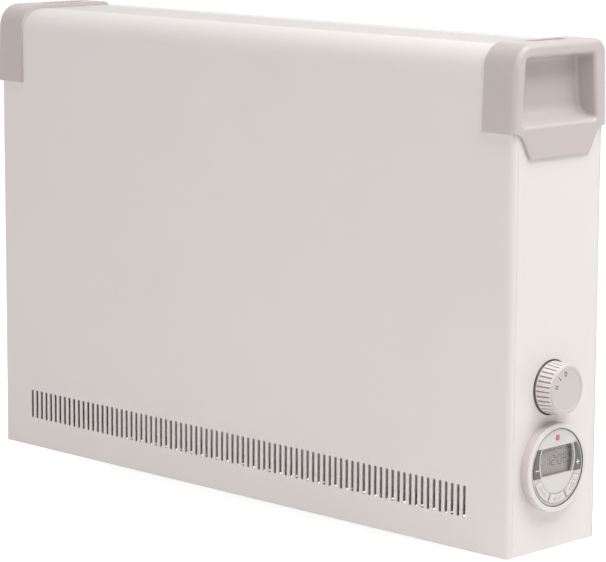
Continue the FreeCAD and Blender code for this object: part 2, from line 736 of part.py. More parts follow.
    rounded(body, f"{name}_scoop", scoop_edge, "Sizes.grip_scoop")
    rounded(body, f"{name}_hold_corners", hold_edge, "Sizes.grip_round")
    rounded(body, f"{name}_rim", lambda b: on_face(b) and in_hold(b), "Sizes.grip_rim")
    rounded(body, f"{name}_tab_edge", lambda b: on_face(b) and b.ZMax < tab_high, "Sizes.tab_edge")
    thumb = sketch_on(body, "XY_Plane", f"{name}_thumb_outline", crown_z)
    thumb_x = f"{side} * ({half_x} - Sizes.thumb_inset)"
    thumb_y = f"{mid_y} + (Sizes.handle_roll - Sizes.handle_rear_roll) / 2"
    slot(thumb, thumb_x, thumb_y, "Sizes.thumb_length", "Sizes.thumb_width")
    pocket(body, f"{name}_thumb", thumb, "Sizes.thumb_depth")
    seats = sketch_on(body, "XZ_Plane", f"{name}_seats", f"-({back_y} + Sizes.seat)")
    holes = sketch_on(body, "XZ_Plane", f"{name}_screw_holes", f"-({back_y} + Sizes.seat)")
    for z in handle_screw_heights:
        circle(seats, handle_screw_x(side), z, "Sizes.head_radius + Sizes.fit")
        circle(holes, handle_screw_x(side), z, "Sizes.thread_radius + Sizes.slide")
    pocket(body, f"{name}_seat_cut", seats, "Sizes.handle_rear")
    pocket(body, f"{name}_screw_cut", holes, "2 * Sizes.seat", backwards=True)
    keep(body, name)


def grip_corners(inset, sill):
    low = f"{top_z} - {sill} + ({inset})"
    high = f"{top_z} - Sizes.grip_top - ({inset})"
    near_side = f"{front_y} + Sizes.grip_front + ({inset})"
    far_side = f"{back_y} - Sizes.grip_rear - ({inset})"
    return [
        (near_side, low),
        (far_side, low),
        (f"{far_side} - Sizes.grip_taper", high),
        (f"{near_side} + Sizes.grip_taper", high),
    ]


front_casing()
end_panel("left_end_panel", -1)
end_panel(
    "right_end_panel",
    1,
    [
        (control_y, knob_z, "Sizes.knob_radius + Sizes.knob_gap"),
        (control_y, timer_z, "Sizes.barrel_radius + Sizes.slide"),
    ],
)
back_panel()
base_plate()
handle("left_handle", -1)
handle("right_handle", 1)


# heat selector: knob, shaft, rotary switch and its plate, in the controls' local axes
def at_knob(item):
    return place(item, outward, half_x, control_y, knob_z)


def selector_knob():
    body = new_body("selector_knob")
    profile = sketch_on(body, "XZ_Plane", "knob_profile")
    shoulder = "(Sizes.knob_proud - Sizes.knob_wall / 2)"
    shoulder_radius = "(Sizes.knob_face + Sizes.knob_wall / 2)"
    ceiling = "(Sizes.knob_proud - Sizes.knob_wall)"
    polygon(
        profile,
        [
            ("Sizes.knob_radius - Sizes.knob_wall", "-Sizes.knob_sink"),
            ("Sizes.knob_radius", "-Sizes.knob_sink"),
            ("Sizes.knob_radius", "0"),
            (shoulder_radius, shoulder),
            ("Sizes.knob_face", "Sizes.knob_proud"),
            ("Sizes.knob_dish", "Sizes.knob_proud"),
            ("Sizes.knob_dish - Sizes.dish_depth", "Sizes.knob_proud - Sizes.dish_depth"),
            ("0", "Sizes.knob_proud - Sizes.dish_depth"),
            ("0", f"{ceiling} - Sizes.knob_wall"),
            ("Sizes.shaft_radius + Sizes.snug", f"{ceiling} - Sizes.knob_wall"),
            ("Sizes.shaft_radius + Sizes.snug", "-2 * Sizes.knob_sink"),
            ("Sizes.knob_hub", "-2 * Sizes.knob_sink"),
            ("Sizes.knob_hub", ceiling),
            (f"{shoulder_radius} - Sizes.knob_wall", ceiling),
        ],
    )
    turned(body, "knob_turned", profile, "V_Axis")
    rise = number(shoulder)
    fall = number(f"Sizes.knob_radius - {shoulder_radius}")
    taper = math.degrees(math.atan2(fall, rise))
    flute = body.newObject("PartDesign::SubtractiveCylinder", "knob_flute")
    flute.setExpression("Radius", "Sizes.flute_radius")
    flute.setExpression("Height", "Sizes.knob_proud - 2 * Sizes.flute_land")
    start = f"(Sizes.knob_radius - {fall / rise} * Sizes.flute_land)"
    outside = "Sizes.flute_radius - Sizes.flute_depth"
    place(flute, Rotation(Vector(0, 1, 0), -taper), f"{start} + {outside}", "0", "Sizes.flute_land")
    document.recompute()
    ring_of(body, "knob_flutes", flute, (origin(body, "Z_Axis"), [""]), "Sizes.flute_count")
    keep(at_knob(body), "selector_knob")


def rotary_switch():
    plate_z = "(-Sizes.switch_inset - Sizes.steel)"
    shaft_low = "(Sizes.knob_proud - 2 * Sizes.knob_wall - Sizes.shaft_length)"
    shaft = cylinder("shaft_rod", along_z, "0", "0", shaft_low, "Sizes.shaft_radius", "Sizes.shaft_length")
    keep(at_knob(group("selector_shaft", shaft)), "selector_shaft")
    size = "Sizes.switch_size"
    case = box(
        "switch_case", f"-{size} / 2", f"-{size} / 2", f"{plate_z} - Sizes.switch_depth",
        size, size, "Sizes.switch_depth",
    )
    bush = cylinder(
        "switch_bush", along_z, "0", "0", f"{plate_z} - Sizes.steel",
        "Sizes.bush_radius", "Sizes.bush_length + 2 * Sizes.steel",
    )
    tags = []
    for index in (-1, 0, 1):
        tag_x = f"{index} * {size} / 4 - Sizes.tact_size / 2"
        tag_low = f"{plate_z} - Sizes.switch_depth - Sizes.tact_height"
        tags.append(box(
            f"switch_tag_{index + 2}", tag_x, f"-{size} / 4", tag_low,
            "Sizes.tact_size", "Sizes.steel", "Sizes.tact_height + Sizes.steel",
        ))
    bore = cylinder(
        "switch_bore", along_z, "0", "0", f"{shaft_low} - Sizes.fit",
        "Sizes.shaft_radius + Sizes.running", "Sizes.shaft_length",
    )
    keep(at_knob(cut("rotary_switch", fuse("switch_solid", case, bush, *tags), bore)), "rotary_switch")
    # hexagon nut on the bush
    body = new_body("switch_nut")
    sketch = sketch_on(body, "XY_Plane", "nut_outline", "-Sizes.switch_inset")
    hexagon(sketch, "0", "0", "Sizes.nut_width / (2 * cos(30))")
    circle(sketch, "0", "0", "Sizes.bush_radius + Sizes.running")
    pad(body, "nut_pad", sketch, "Sizes.nut_height")
    keep(at_knob(body), "switch_nut")
    # bent plate that carries the switch behind the end panel
    plate = new_body("switch_plate")
    side = f"({size} / 2 + Sizes.flange)"
    foot = f"({side} + Sizes.flange)"
    low, high = "-Sizes.switch_inset - Sizes.steel", "-Sizes.steel"
    profile = sketch_on(plate, "XZ_Plane", "plate_profile")
    polygon(profile, [
        (f"-{foot}", high),
        (f"-{foot}", f"{high} - Sizes.steel"),
        (f"-{side}", f"{high} - Sizes.steel"),
        (f"-{side}", low),
        (side, low),
        (side, f"{high} - Sizes.steel"),
        (foot, f"{high} - Sizes.steel"),
        (foot, high),
        (f"{side} - Sizes.steel", high),
        (f"{side} - Sizes.steel", f"{low} + Sizes.steel"),
        (f"-{side} + Sizes.steel", f"{low} + Sizes.steel"),
        (f"-{side} + Sizes.steel", high),
    ])
    pad(plate, "plate_pad", profile, "Sizes.switch_strip", both_ways=True)
    hole = sketch_on(plate, "XY_Plane", "plate_hole", f"{low} + Sizes.steel")
    circle(hole, "0", "0", "Sizes.bush_radius + Sizes.slide")
    pocket(plate, "plate_hole_cut", hole, "2 * Sizes.steel")
    keep(at_knob(plate), "switch_plate")


# timer module, in the controls' local axes
rim_inside = "(Sizes.bezel_radius - Sizes.bezel_rim)"
face_radius = f"({rim_inside} - Sizes.groove)"
face_front = "(Sizes.bezel_proud - Sizes.face_sink)"
face_rear = f"({face_front} - Sizes.face_thickness)"
board_top = f"({face_rear} - Sizes.board_drop)"
stem_low = f"({board_top} + Sizes.tact_height + Sizes.tact_button + Sizes.key_travel + Sizes.slide)"
key_middle = "((Sizes.key_outer + Sizes.key_inner) / 2)"
side_key_x = f"((Sizes.screen_width / 2 + {face_radius}) / 2)"


def at_timer(item):
    return place(item, outward, half_x, control_y, timer_z)


def timer_bezel():
    body = new_body("timer_bezel")
    profile = sketch_on(body, "XZ_Plane", "bezel_profile")
    barrel_inside = "Sizes.barrel_radius - Sizes.barrel_wall"
    polygon(profile, [
        ("Sizes.bezel_radius", "0"),
        ("Sizes.bezel_radius", "Sizes.bezel_proud"),
        (rim_inside, "Sizes.bezel_proud"),
        (rim_inside, face_rear),
        (f"{rim_inside} - Sizes.ledge", face_rear),
        (f"{rim_inside} - Sizes.ledge", f"{face_rear} - Sizes.ledge"),
        (barrel_inside, f"{face_rear} - Sizes.ledge"),
        (barrel_inside, "-Sizes.barrel_depth"),
        ("Sizes.barrel_radius", "-Sizes.barrel_depth"),
        ("Sizes.barrel_radius", "0"),
    ])
    turned(body, "bezel_turned", profile, "V_Axis")

    def rim_circle(b):
        level = same(b.ZMin, b.ZMax) and near(b.ZMax, "Sizes.bezel_proud")
        return level and near(b.XMax, "Sizes.bezel_radius")

    rounded(body, "bezel_rim_round", rim_circle, "Sizes.bezel_round")
    keep(at_timer(body), "timer_bezel")
    lid_z = "-Sizes.barrel_depth - Sizes.barrel_wall"
    lid = cylinder("timer_lid", along_z, "0", "0", lid_z, "Sizes.barrel_radius", "Sizes.barrel_wall")
    tags = [
        box(
            f"timer_tag_{index + 2}",
            f"{index} * {key_middle} / 2 - Sizes.tact_size / 2",
            f"-{key_middle} / 2",
            f"{lid_z} - Sizes.tact_height",
            "Sizes.tact_size", "Sizes.steel", "Sizes.tact_height + Sizes.steel",
        )
        for index in (-1, 0, 1)
    ]
    keep(at_timer(fuse("timer_rear_cover", lid, *tags)), "timer_rear_cover")
    ring_z = "-Sizes.steel - Sizes.bezel_rim"
    ring = cylinder("ring_outside", along_z, "0", "0", ring_z, "Sizes.bezel_radius", "Sizes.bezel_rim")
    bore_radius = "Sizes.barrel_radius + Sizes.slide"
    bore = cylinder("ring_bore", along_z, "0", "0", ring_z, bore_radius, "Sizes.bezel_rim")
    keep(at_timer(cut("timer_clamp_ring", ring, bore)), "timer_clamp_ring")


def window(name, grow, low, high):
    # the display window's outline: level top and bottom, bowed sides
    offset = "(sqrt(Sizes.screen_bow ^ 2 - (Sizes.screen_height / 2) ^ 2) - Sizes.screen_width / 2)"
    height = f"({high} - {low})"
    low_y = f"Sizes.screen_rise - Sizes.screen_height / 2 - ({grow})"
    band = box(
        f"{name}_band", "-Sizes.bezel_radius", low_y, low,
        "2 * Sizes.bezel_radius", f"Sizes.screen_height + 2 * ({grow})", height,
    )
    bows = [
        cylinder(
            f"{name}_bow_{side + 2}", along_z, f"{side} * {offset}", "Sizes.screen_rise", low,
            f"Sizes.screen_bow + ({grow})", height,
        )
        for side in (-1, 1)
    ]
    return common(f"{name}_window", band, *bows)


def side_key(name, side, grow, low, high):
    # what is left of the band between the window's white web and the rim
    height = f"({high} - {low})"
    start = "-Sizes.bezel_radius" if side < 0 else "0"
    band = box(
        f"{name}_band", start, f"Sizes.screen_rise - Sizes.screen_height / 2 - ({grow})", low,
        "Sizes.bezel_radius", f"Sizes.screen_height + 2 * ({grow})", height,
    )
    disc = cylinder(
        f"{name}_disc", along_z, "0", "0", low,
        f"{face_radius} - Sizes.side_border + ({grow})", height,
    )
    web = window(f"{name}_web", f"Sizes.screen_web - ({grow})", low, high)
    tall_web = box(
        f"{name}_core", "-Sizes.screen_width / 2", "-Sizes.bezel_radius", low,
        "Sizes.screen_width", "2 * Sizes.bezel_radius", height,
    )
    return cut(f"{name}_side", common(f"{name}_lune", band, disc), web, tall_web)


def curved_key(name, middle, grow, low, high, widen="0"):
    # a sector of a ring, grown inwards and outwards, and widened at both ends
    height = f"({high} - {low})"
    span = f"(Sizes.key_span + 360 * ({widen}) / (pi * {key_middle}))"
    wedge = primitive(
        "Cylinder", f"{name}_wedge", along_z, "0", "0", low,
        Radius=f"Sizes.key_outer + ({grow})", Height=height, Angle=span,
    )
    turn = f"{middle} - {span} / 2"
    wedge.Placement.Rotation = Rotation(Vector(0, 0, 1), number(turn))
    wedge.setExpression("Placement.Rotation.Angle", turn)
    core = cylinder(f"{name}_core", along_z, "0", "0", low, f"Sizes.key_inner - ({grow})", height)
    return cut(f"{name}_arc", wedge, core)


key_names = {"program_button": -1, "enter_button": 0, "clock_button": 1}
side_names = {"minus_button": -1, "plus_button": 1}


def key_angle(step):
    return f"(270 + {step} * Sizes.key_step)"


def timer_face():
    disc = cylinder("face_disc", along_z, "0", "0", face_rear, face_radius, "Sizes.face_thickness")
    posts = [
        cylinder(f"face_post_{index}", along_z, x, y, board_top, "Sizes.post_radius", "Sizes.board_drop")
        for index, (x, y) in enumerate(post_places)
    ]
    low, high = f"({face_rear} - Sizes.steel)", f"({face_front} + Sizes.steel)"
    holes = [window("face_screen", "0", low, high)]
    for name, step in key_names.items():
        holes.append(curved_key(f"face_{name}", key_angle(step), "Sizes.slide", low, high, "Sizes.slide"))
    for name, side in side_names.items():
        holes.append(side_key(f"face_{name}", side, "Sizes.slide", low, high))
    lamp_size = ("Sizes.lamp_radius + Sizes.slide", f"{high} - {low}")
    holes.append(cylinder("face_lamp_hole", along_z, "0", "Sizes.lamp_rise", low, *lamp_size))
    keep(at_timer(cut("timer_face", fuse("face_solid", disc, *posts), *holes)), "timer_face")


# posts at shares of the keys' middle radius
post_shares = ((0.64, 0.92), (0.36, -0.55))
post_places = [
    (f"{side} * {key_middle} * {x}", f"{key_middle} * {y}") for side in (-1, 1) for x, y in post_shares
]


def buttons():
    high = f"({face_front} + Sizes.key_proud)"
    low = f"({face_rear} - Sizes.slide - Sizes.flange_thickness / 2)"
    flange_high = f"({face_rear} - Sizes.slide)"
    flange_low = f"({flange_high} - Sizes.flange_thickness)"
    stem = f"({low} - {stem_low})"
    for name, step in key_names.items():
        angle = key_angle(step)
        top = curved_key(f"{name}_top", angle, "0", low, high)
        flange = curved_key(f"{name}_flange", angle, "Sizes.key_flange", flange_low, flange_high)
        x, y = f"{key_middle} * cos({angle})", f"{key_middle} * sin({angle})"
        leg = cylinder(f"{name}_stem", along_z, x, y, stem_low, "Sizes.stem_radius", stem)
        keep(at_timer(fuse(name, top, flange, leg)), name)
    for name, side in side_names.items():
        top = side_key(f"{name}_top", side, "0", low, high)
        bar_width = "Sizes.lens_lip * 2"
        bar_x = "Sizes.screen_width / 2 + Sizes.screen_web"
        bar = box(
            f"{name}_bar", bar_x if side > 0 else f"-({bar_x}) - {bar_width}",
            "Sizes.screen_rise - Sizes.screen_height / 2 - Sizes.key_flange", flange_low,
            bar_width, "Sizes.screen_height + 2 * Sizes.key_flange", "Sizes.flange_thickness",
        )
        leg = cylinder(
            f"{name}_stem", along_z, f"{side} * {side_key_x}", "Sizes.screen_rise", stem_low,
            "Sizes.stem_radius", stem,
        )
        keep(at_timer(fuse(name, top, bar, leg)), name)


def timer_inside():
    pane = window("pane", "-Sizes.slide", face_rear, f"({face_front} - Sizes.slide)")
    width = "(Sizes.screen_width + 2 * Sizes.lens_lip)"
    height = "(Sizes.screen_height + 2 * Sizes.lens_lip)"
    low_y = f"Sizes.screen_rise - {height} / 2"
    lip = box(
        "pane_lip", "-Sizes.screen_width / 2", low_y, f"{face_rear} - Sizes.lens_lip",
        "Sizes.screen_width", height, "Sizes.lens_lip",
    )
    keep(at_timer(fuse("display_lens", pane, lip)), "display_lens")
    glass_top = f"({face_rear} - Sizes.lens_lip - Sizes.slide)"
    glass_low = f"({glass_top} - Sizes.lens_thickness)"
    glass = box("glass_plate", f"-{width} / 2", low_y, glass_low, width, height, "Sizes.lens_thickness")
    keep(at_timer(group("display_glass", glass)), "display_glass")
    frame_height = f"({glass_low} - {board_top})"
    outside = box("holder_outside", f"-{width} / 2", low_y, board_top, width, height, frame_height)
    wall = "Sizes.barrel_wall"
    inside = box(
        "holder_inside", f"-{width} / 2 + {wall}", f"{low_y} + {wall}", board_top,
        f"{width} - 2 * {wall}", f"{height} - 2 * {wall}", frame_height,
    )
    keep(at_timer(cut("display_holder", outside, inside)), "display_holder")
    board_radius = "Sizes.barrel_radius - Sizes.barrel_wall - Sizes.slide"
    board_low = f"({board_top} - Sizes.board_thickness)"
    board = cylinder("board_disc", along_z, "0", "0", board_low, board_radius, "Sizes.board_thickness")
    keep(at_timer(group("timer_board", board)), "timer_board")
    angles = [key_angle(step) for step in key_names.values()]
    places = [(f"{key_middle} * cos({angle})", f"{key_middle} * sin({angle})") for angle in angles]
    places += [(f"{side} * {side_key_x}", "Sizes.screen_rise") for side in side_names.values()]
    switches = []
    for index, (x, y) in enumerate(places):
        case = box(
            f"tact_case_{index}", f"{x} - Sizes.tact_size / 2", f"{y} - Sizes.tact_size / 2", board_top,
            "Sizes.tact_size", "Sizes.tact_size", "Sizes.tact_height",
        )
        plunger = cylinder(
            f"tact_plunger_{index}", along_z, x, y, board_top,
            "Sizes.stem_radius", "Sizes.tact_height + Sizes.tact_button",
        )
        switches.append(fuse(f"tact_{index}", case, plunger))
    keep(at_timer(group("tact_switches", *switches)), "tact_switches")
    bulb_low = f"({face_rear} - 2 * Sizes.lamp_radius)"

    def lamp_disc(name, radius, length):
        return cylinder(name, along_z, "0", "Sizes.lamp_rise", bulb_low, radius, length)

    bulb = lamp_disc("lamp_bulb", "Sizes.lamp_radius", f"{face_front} - {bulb_low}")
    tip_radius = "(Sizes.lamp_radius - Sizes.slide)"
    tip_z = f"{face_front} + Sizes.lamp_dome - {tip_radius}"
    tip = primitive("Sphere", "lamp_tip", along_z, "0", "Sizes.lamp_rise", tip_z, Radius=tip_radius)
    rim = lamp_disc("lamp_rim", "Sizes.lamp_radius + Sizes.fit", "Sizes.steel")
    legs = [
        box(
            f"lamp_leg_{side + 2}",
            f"{side} * Sizes.lamp_radius / 2 - Sizes.fit / 2", "Sizes.lamp_rise - Sizes.fit / 2", board_top,
            "Sizes.fit", "Sizes.fit", f"{bulb_low} - {board_top}",
        )
        for side in (-1, 1)
    ]
    keep(at_timer(fuse("indicator_lamp", bulb, tip, rim, *legs)), "indicator_lamp")


selector_knob()
rotary_switch()
timer_bezel()
timer_face()
buttons()
timer_inside()


# heating elements: sheathed hairpins with pressed-on fins, both terminals at the control end
leg_places = [f"({mid_y} - Sizes.element_legs / 2)", f"({mid_y} + Sizes.element_legs / 2)"]
element_heights = {
    "lower_heating_element": f"({base_z} + Sizes.element_height)",
    "upper_heating_element": f"({base_z} + Sizes.element_height + Sizes.element_step)",
}
element_end_x = f"({partition_x} + Sizes.bushing_length)"
bend_x = f"(-{half_x} + Sizes.element_margin + Sizes.element_legs / 2)"
fin_start_x = f"({bend_x} + Sizes.element_legs / 2)"
fin_run = f"({partition_x} - Sizes.element_legs / 2 - {fin_start_x})"
fin_pitch = f"({fin_run} / (Sizes.fin_count - 1))"
cutout_x = f"({partition_x} - 4 * Sizes.flange)"
cutout_z = f"({base_z} + Sizes.cutout_height)"
wire_passes = [f"({leg_places[1]} + {sign} * Sizes.bushing_radius)" for sign in (1, -1)]


def heating_element(name, z):
    body = new_body(name)
    near_leg, far_leg = leg_places
    path = sketch_on(body, "XY_Plane", f"{name}_path", z)
    x0, x1 = number(bend_x), number(element_end_x)
    y0, y1 = number(near_leg), number(far_leg)
    bend = Part.Circle(Vector(x0, (y0 + y1) / 2, 0), Vector(0, 0, 1), (y1 - y0) / 2)
    path.addGeometry(Part.LineSegment(Vector(x1, y1, 0), Vector(x0, y1, 0)))
    path.addGeometry(Part.ArcOfCircle(bend, math.pi / 2, 3 * math.pi / 2))
    path.addGeometry(Part.LineSegment(Vector(x0, y0, 0), Vector(x1, y0, 0)))
    for index in (0, 1):
        path.addConstraint(Sketcher.Constraint("Tangent", index, 2, index + 1, 1))
    pin(path, 0, 1, element_end_x, far_leg)
    pin(path, 2, 2, element_end_x, near_leg)
    pin(path, 1, 3, bend_x, mid_y)
    ring = sketch_on(body, "YZ_Plane", f"{name}_ring", element_end_x)
    circle(ring, far_leg, z, "Sizes.element_radius")
    pipe = body.newObject("PartDesign::AdditivePipe", f"{name}_tube")
    pipe.Profile = ring
    pipe.Spine = (path, ["Edge1", "Edge2", "Edge3"])
    document.recompute()
    pins = sketch_on(body, "YZ_Plane", f"{name}_pins", element_end_x)
    for y in leg_places:
        circle(pins, y, z, "Sizes.pin_radius")
    pad(body, f"{name}_terminals", pins, "Sizes.pin_length")
    fin = sketch_on(body, "YZ_Plane", f"{name}_fin", fin_start_x)
    low, high = f"{z} - Sizes.fin_height / 2", f"{z} + Sizes.fin_height / 2"
    rectangle(fin, f"{near_leg} - Sizes.fin_overhang", low, f"{far_leg} + Sizes.fin_overhang", high)
    first_fin = pad(body, f"{name}_first_fin", fin, "Sizes.fin_thickness")
    row_of(body, f"{name}_fins", first_fin, fin, fin_run, "Sizes.fin_count", "N_Axis")
    keep(body, name)


# sheet pieces that carry the elements
def leg_holes(body, name, x, radius):
    sketch = sketch_on(body, "YZ_Plane", name, x)
    for z in element_heights.values():
        for y in leg_places:
            circle(sketch, y, z, radius)
    return pocket(body, f"{name}_cut", sketch, "3 * Sizes.steel", both_ways=True)


def element_support(name, fin_index):
    # stands midway between this fin and the next, and is folded against the heat shield
    body = new_body(name)
    x = f"({fin_start_x} + {fin_pitch} * ({fin_index} + 0.5))"
    low = f"{element_heights['lower_heating_element']} - Sizes.fin_height / 2"
    high = f"{element_heights['upper_heating_element']} + Sizes.fin_height / 2"
    outline = sketch_on(body, "YZ_Plane", f"{name}_outline", x)
    rectangle(outline, f"{leg_places[0]} - Sizes.fin_overhang", low, shield_y, high)
    pad(body, f"{name}_web", outline, "Sizes.steel")
    fold = sketch_on(body, "XZ_Plane", f"{name}_fold", f"-{shield_y}")
    rectangle(fold, x, low, f"{x} + Sizes.flange", high)
    pad(body, f"{name}_flange", fold, "Sizes.steel")
    leg_holes(body, f"{name}_holes", x, "Sizes.element_radius + Sizes.slide")
    keep(body, name)


def control_partition():
    body = new_body("control_partition")
    outline = sketch_on(body, "YZ_Plane", "partition_outline", partition_x)
    high = f"{top_z} - Sizes.roll_radius"
    rectangle(outline, f"{front_y} + 3 * Sizes.steel", floor_z, inner_back_y, high)
    pad(body, "partition_web", outline, "Sizes.steel")
    rear = sketch_on(body, "XZ_Plane", "partition_rear", f"-{inner_back_y}")
    rectangle(rear, partition_x, f"{base_z} + Sizes.shield_low", f"{partition_x} + Sizes.flange", high)
    pad(body, "partition_flange", rear, "Sizes.steel")
    foot = sketch_on(body, "XY_Plane", "partition_foot", floor_z)
    foot_back = f"{inner_back_y} - Sizes.flange - Sizes.gland_length"
    rectangle(foot, partition_x, f"{front_y} + 3 * Sizes.steel", f"{partition_x} + Sizes.flange", foot_back)
    pad(body, "partition_foot_flange", foot, "Sizes.steel")
    leg_holes(body, "partition_holes", partition_x, "Sizes.bushing_radius + Sizes.slide")
    passes = sketch_on(body, "YZ_Plane", "partition_wire_holes", partition_x)
    for y in wire_passes:
        circle(passes, y, cutout_z, "Sizes.wire_radius + Sizes.fit")
    pocket(body, "partition_wire_cut", passes, "3 * Sizes.steel", both_ways=True)
    keep(body, "control_partition")


def element_bushes():
    bushes = []
    start = f"({partition_x} - Sizes.bushing_length / 2)"
    collar_x = f"{partition_x} + Sizes.steel"
    collar_radius = "Sizes.bushing_radius + Sizes.bend"
    bore_radius = "Sizes.element_radius + Sizes.slide / 2"
    for level, z in enumerate(element_heights.values()):
        for leg, y in enumerate(leg_places):
            name = f"bush_{level}{leg}"
            length = "Sizes.bushing_length"
            sleeve = cylinder(f"{name}_sleeve", along_x, start, y, z, "Sizes.bushing_radius", length)
            collar = cylinder(f"{name}_collar", along_x, collar_x, y, z, collar_radius, "Sizes.bend")
            bore = cylinder(f"{name}_bore", along_x, start, y, z, bore_radius, length)
            bushes.append(cut(name, fuse(f"{name}_solid", sleeve, collar), bore))
    keep(group("element_bushes", *bushes), "element_bushes")


def heat_shield():
    # folded sheet between the elements and the back panel
    body = new_body("heat_shield")
    profile = sketch_on(body, "YZ_Plane", "shield_profile")
    low, high = f"({base_z} + Sizes.shield_low)", f"({base_z} + Sizes.shield_high)"
    face, rear = shield_y, inner_back_y
    polygon(profile, [
        (rear, f"{low} - Sizes.flange"),
        (rear, f"{low} + Sizes.steel"),
        (f"{face} + Sizes.steel", f"{low} + Sizes.steel"),
        (f"{face} + Sizes.steel", f"{high} - Sizes.steel"),
        (rear, f"{high} - Sizes.steel"),
        (rear, f"{high} + Sizes.flange"),
        (f"{rear} - Sizes.steel", f"{high} + Sizes.flange"),
        (f"{rear} - Sizes.steel", high),
        (face, high),
        (face, low),
        (f"{rear} - Sizes.steel", low),
        (f"{rear} - Sizes.steel", f"{low} - Sizes.flange"),
    ])
    pad(body, "shield_pad", profile, f"2 * ({partition_x} - Sizes.flange)", both_ways=True)
    keep(body, "heat_shield")


def thermal_cutout():
    x, z = cutout_x, cutout_z
    rotation = Rotation(Vector(1, 0, 0), 90)
    cap = cylinder("cutout_cap", rotation, x, shield_y, z, "Sizes.cutout_radius", "Sizes.cutout_depth")
    ears = box(
        "cutout_ears",
        f"{x} - 2 * Sizes.cutout_radius", f"{shield_y} - Sizes.steel", f"{z} - Sizes.cutout_radius / 2",
        "4 * Sizes.cutout_radius", "Sizes.steel", "Sizes.cutout_radius",
    )
    tags = [
        box(
            f"cutout_tag_{side + 2}", f"{x} + {side} * Sizes.cutout_radius / 2 - Sizes.tact_size / 2",
            f"{shield_y} - Sizes.cutout_depth - Sizes.tact_height", f"{z} - Sizes.steel / 2",
            "Sizes.tact_size", "Sizes.tact_height + Sizes.steel", "Sizes.steel",
        )
        for side in (-1, 1)
    ]
    keep(fuse("thermal_cutout", cap, ears, *tags), "thermal_cutout")


# supply entry
gland_x = f"({half_x} - Sizes.gland_inset)"
gland_z = f"({base_z} + Sizes.gland_height)"


def cable_gland():
    def piece(name, start, radius, length):
        return cylinder(name, along_y, gland_x, start, gland_z, radius, length)

    start = f"{back_y} - Sizes.gland_length"
    flange = piece("gland_disc", back_y, "Sizes.gland_collar", "Sizes.gland_flange")
    barrel = piece("gland_barrel", start, "Sizes.gland_radius", "Sizes.gland_length")
    bore = piece("gland_hole", start, "Sizes.gland_bore", "Sizes.gland_length + Sizes.gland_flange")
    keep(cut("cable_gland", fuse("gland_solid", flange, barrel), bore), "cable_gland")
    body = new_body("gland_nut")
    sketch = sketch_on(body, "XZ_Plane", "gland_nut_outline", f"-{inner_back_y}")
    hexagon(sketch, gland_x, gland_z, "Sizes.gland_collar")
    circle(sketch, gland_x, gland_z, "Sizes.gland_radius + Sizes.running")
    pad(body, "gland_nut_pad", sketch, "Sizes.gland_flange")
    keep(body, "gland_nut")


block_y = f"({inner_back_y} - Sizes.flange - Sizes.gland_length - Sizes.block_length)"
block_z = f"({floor_z} + Sizes.steel)"
well_places = [f"({block_y} + Sizes.block_length * {step} / 6)" for step in (1, 3, 5)]


def terminal_block():
    x = f"({partition_x} + Sizes.steel)"
    size = ("Sizes.block_depth", "Sizes.block_length", "Sizes.block_height")
    solid = box("block_solid", x, block_y, block_z, *size)
    wells = [
        cylinder(
            f"block_well_{index}", along_z, f"{x} + Sizes.block_depth / 2",
            y, f"{block_z} + Sizes.block_height / 2", "Sizes.head_radius / 2", "Sizes.block_height",
        )
        for index, y in enumerate(well_places)
    ]
    keep(cut("terminal_block", solid, *wells), "terminal_block")


# wall fixing
def wall_bracket():
    body = new_body("wall_bracket")
    plate = sketch_on(body, "XZ_Plane", "bracket_outline")
    high = "Sizes.bracket_height / 2"
    rectangle(plate, "-Sizes.bracket_length / 2", f"-{high}", "Sizes.bracket_length / 2", high)
    pad(body, "bracket_plate", plate, "Sizes.bracket_steel")
    lip_y = f"({inner_back_y} - Sizes.bracket_steel)"
    for side, word in ((-1, "left"), (1, "right")):
        start = f"{side} * Sizes.hook_spacing / 2 - Sizes.hook_width / 2"
        hook = sketch_on(body, "YZ_Plane", f"{word}_hook", start)
        polygon(hook, [
            ("0", high),
            ("0", f"{high} - Sizes.bracket_steel"),
            (f"{lip_y} - Sizes.bracket_steel", f"{high} - Sizes.bracket_steel"),
            (f"{lip_y} - Sizes.bracket_steel", f"{high} + Sizes.hook_lip"),
            (lip_y, f"{high} + Sizes.hook_lip"),
            (lip_y, high),
        ])
        pad(body, f"{word}_hook_pad", hook, "Sizes.hook_width")

    def plate_corner(b):
        upright = near(b.YLength, "Sizes.bracket_steel") and same(b.XMin, b.XMax) and same(b.ZMin, b.ZMax)
        return upright and near(abs(b.XMin), "Sizes.bracket_length / 2")

    rounded(body, "bracket_corners", plate_corner, "Sizes.edge_radius")
    holes = sketch_on(body, "XZ_Plane", "bracket_holes")
    for side in (-1, 1):
        circle(holes, f"{side} * Sizes.screw_spacing / 2", "0", "Sizes.screw_hole")
    pocket(body, "bracket_hole_cut", holes, "3 * Sizes.bracket_steel", both_ways=True)
    keep(body, "wall_bracket")


def wall_buffers():
    pieces = []
    height = f"{base_z} + Sizes.buffer_height"
    for side in (-1, 1):
        body = new_body(f"buffer_{side + 2}")
        profile = sketch_on(body, "XZ_Plane", f"buffer_profile_{side + 2}")
        neck = "Sizes.buffer_radius / 2"
        polygon(profile, [
            ("0", "0"),
            ("Sizes.buffer_radius - Sizes.bend", "0"),
            ("Sizes.buffer_radius", "-Sizes.bend"),
            ("Sizes.buffer_radius", back_y),
            (neck, back_y),
            (neck, inner_back_y),
            (f"{neck} + Sizes.bend", inner_back_y),
            (neck, f"{inner_back_y} - 3 * Sizes.steel"),
            ("0", f"{inner_back_y} - 3 * Sizes.steel"),
        ])
        turned(body, f"buffer_turned_{side + 2}", profile, "V_Axis")
        pieces.append(place(body, along_y, f"{side} * Sizes.buffer_spread / 2", "0", height))
    keep(group("wall_buffers", *pieces), "wall_buffers")


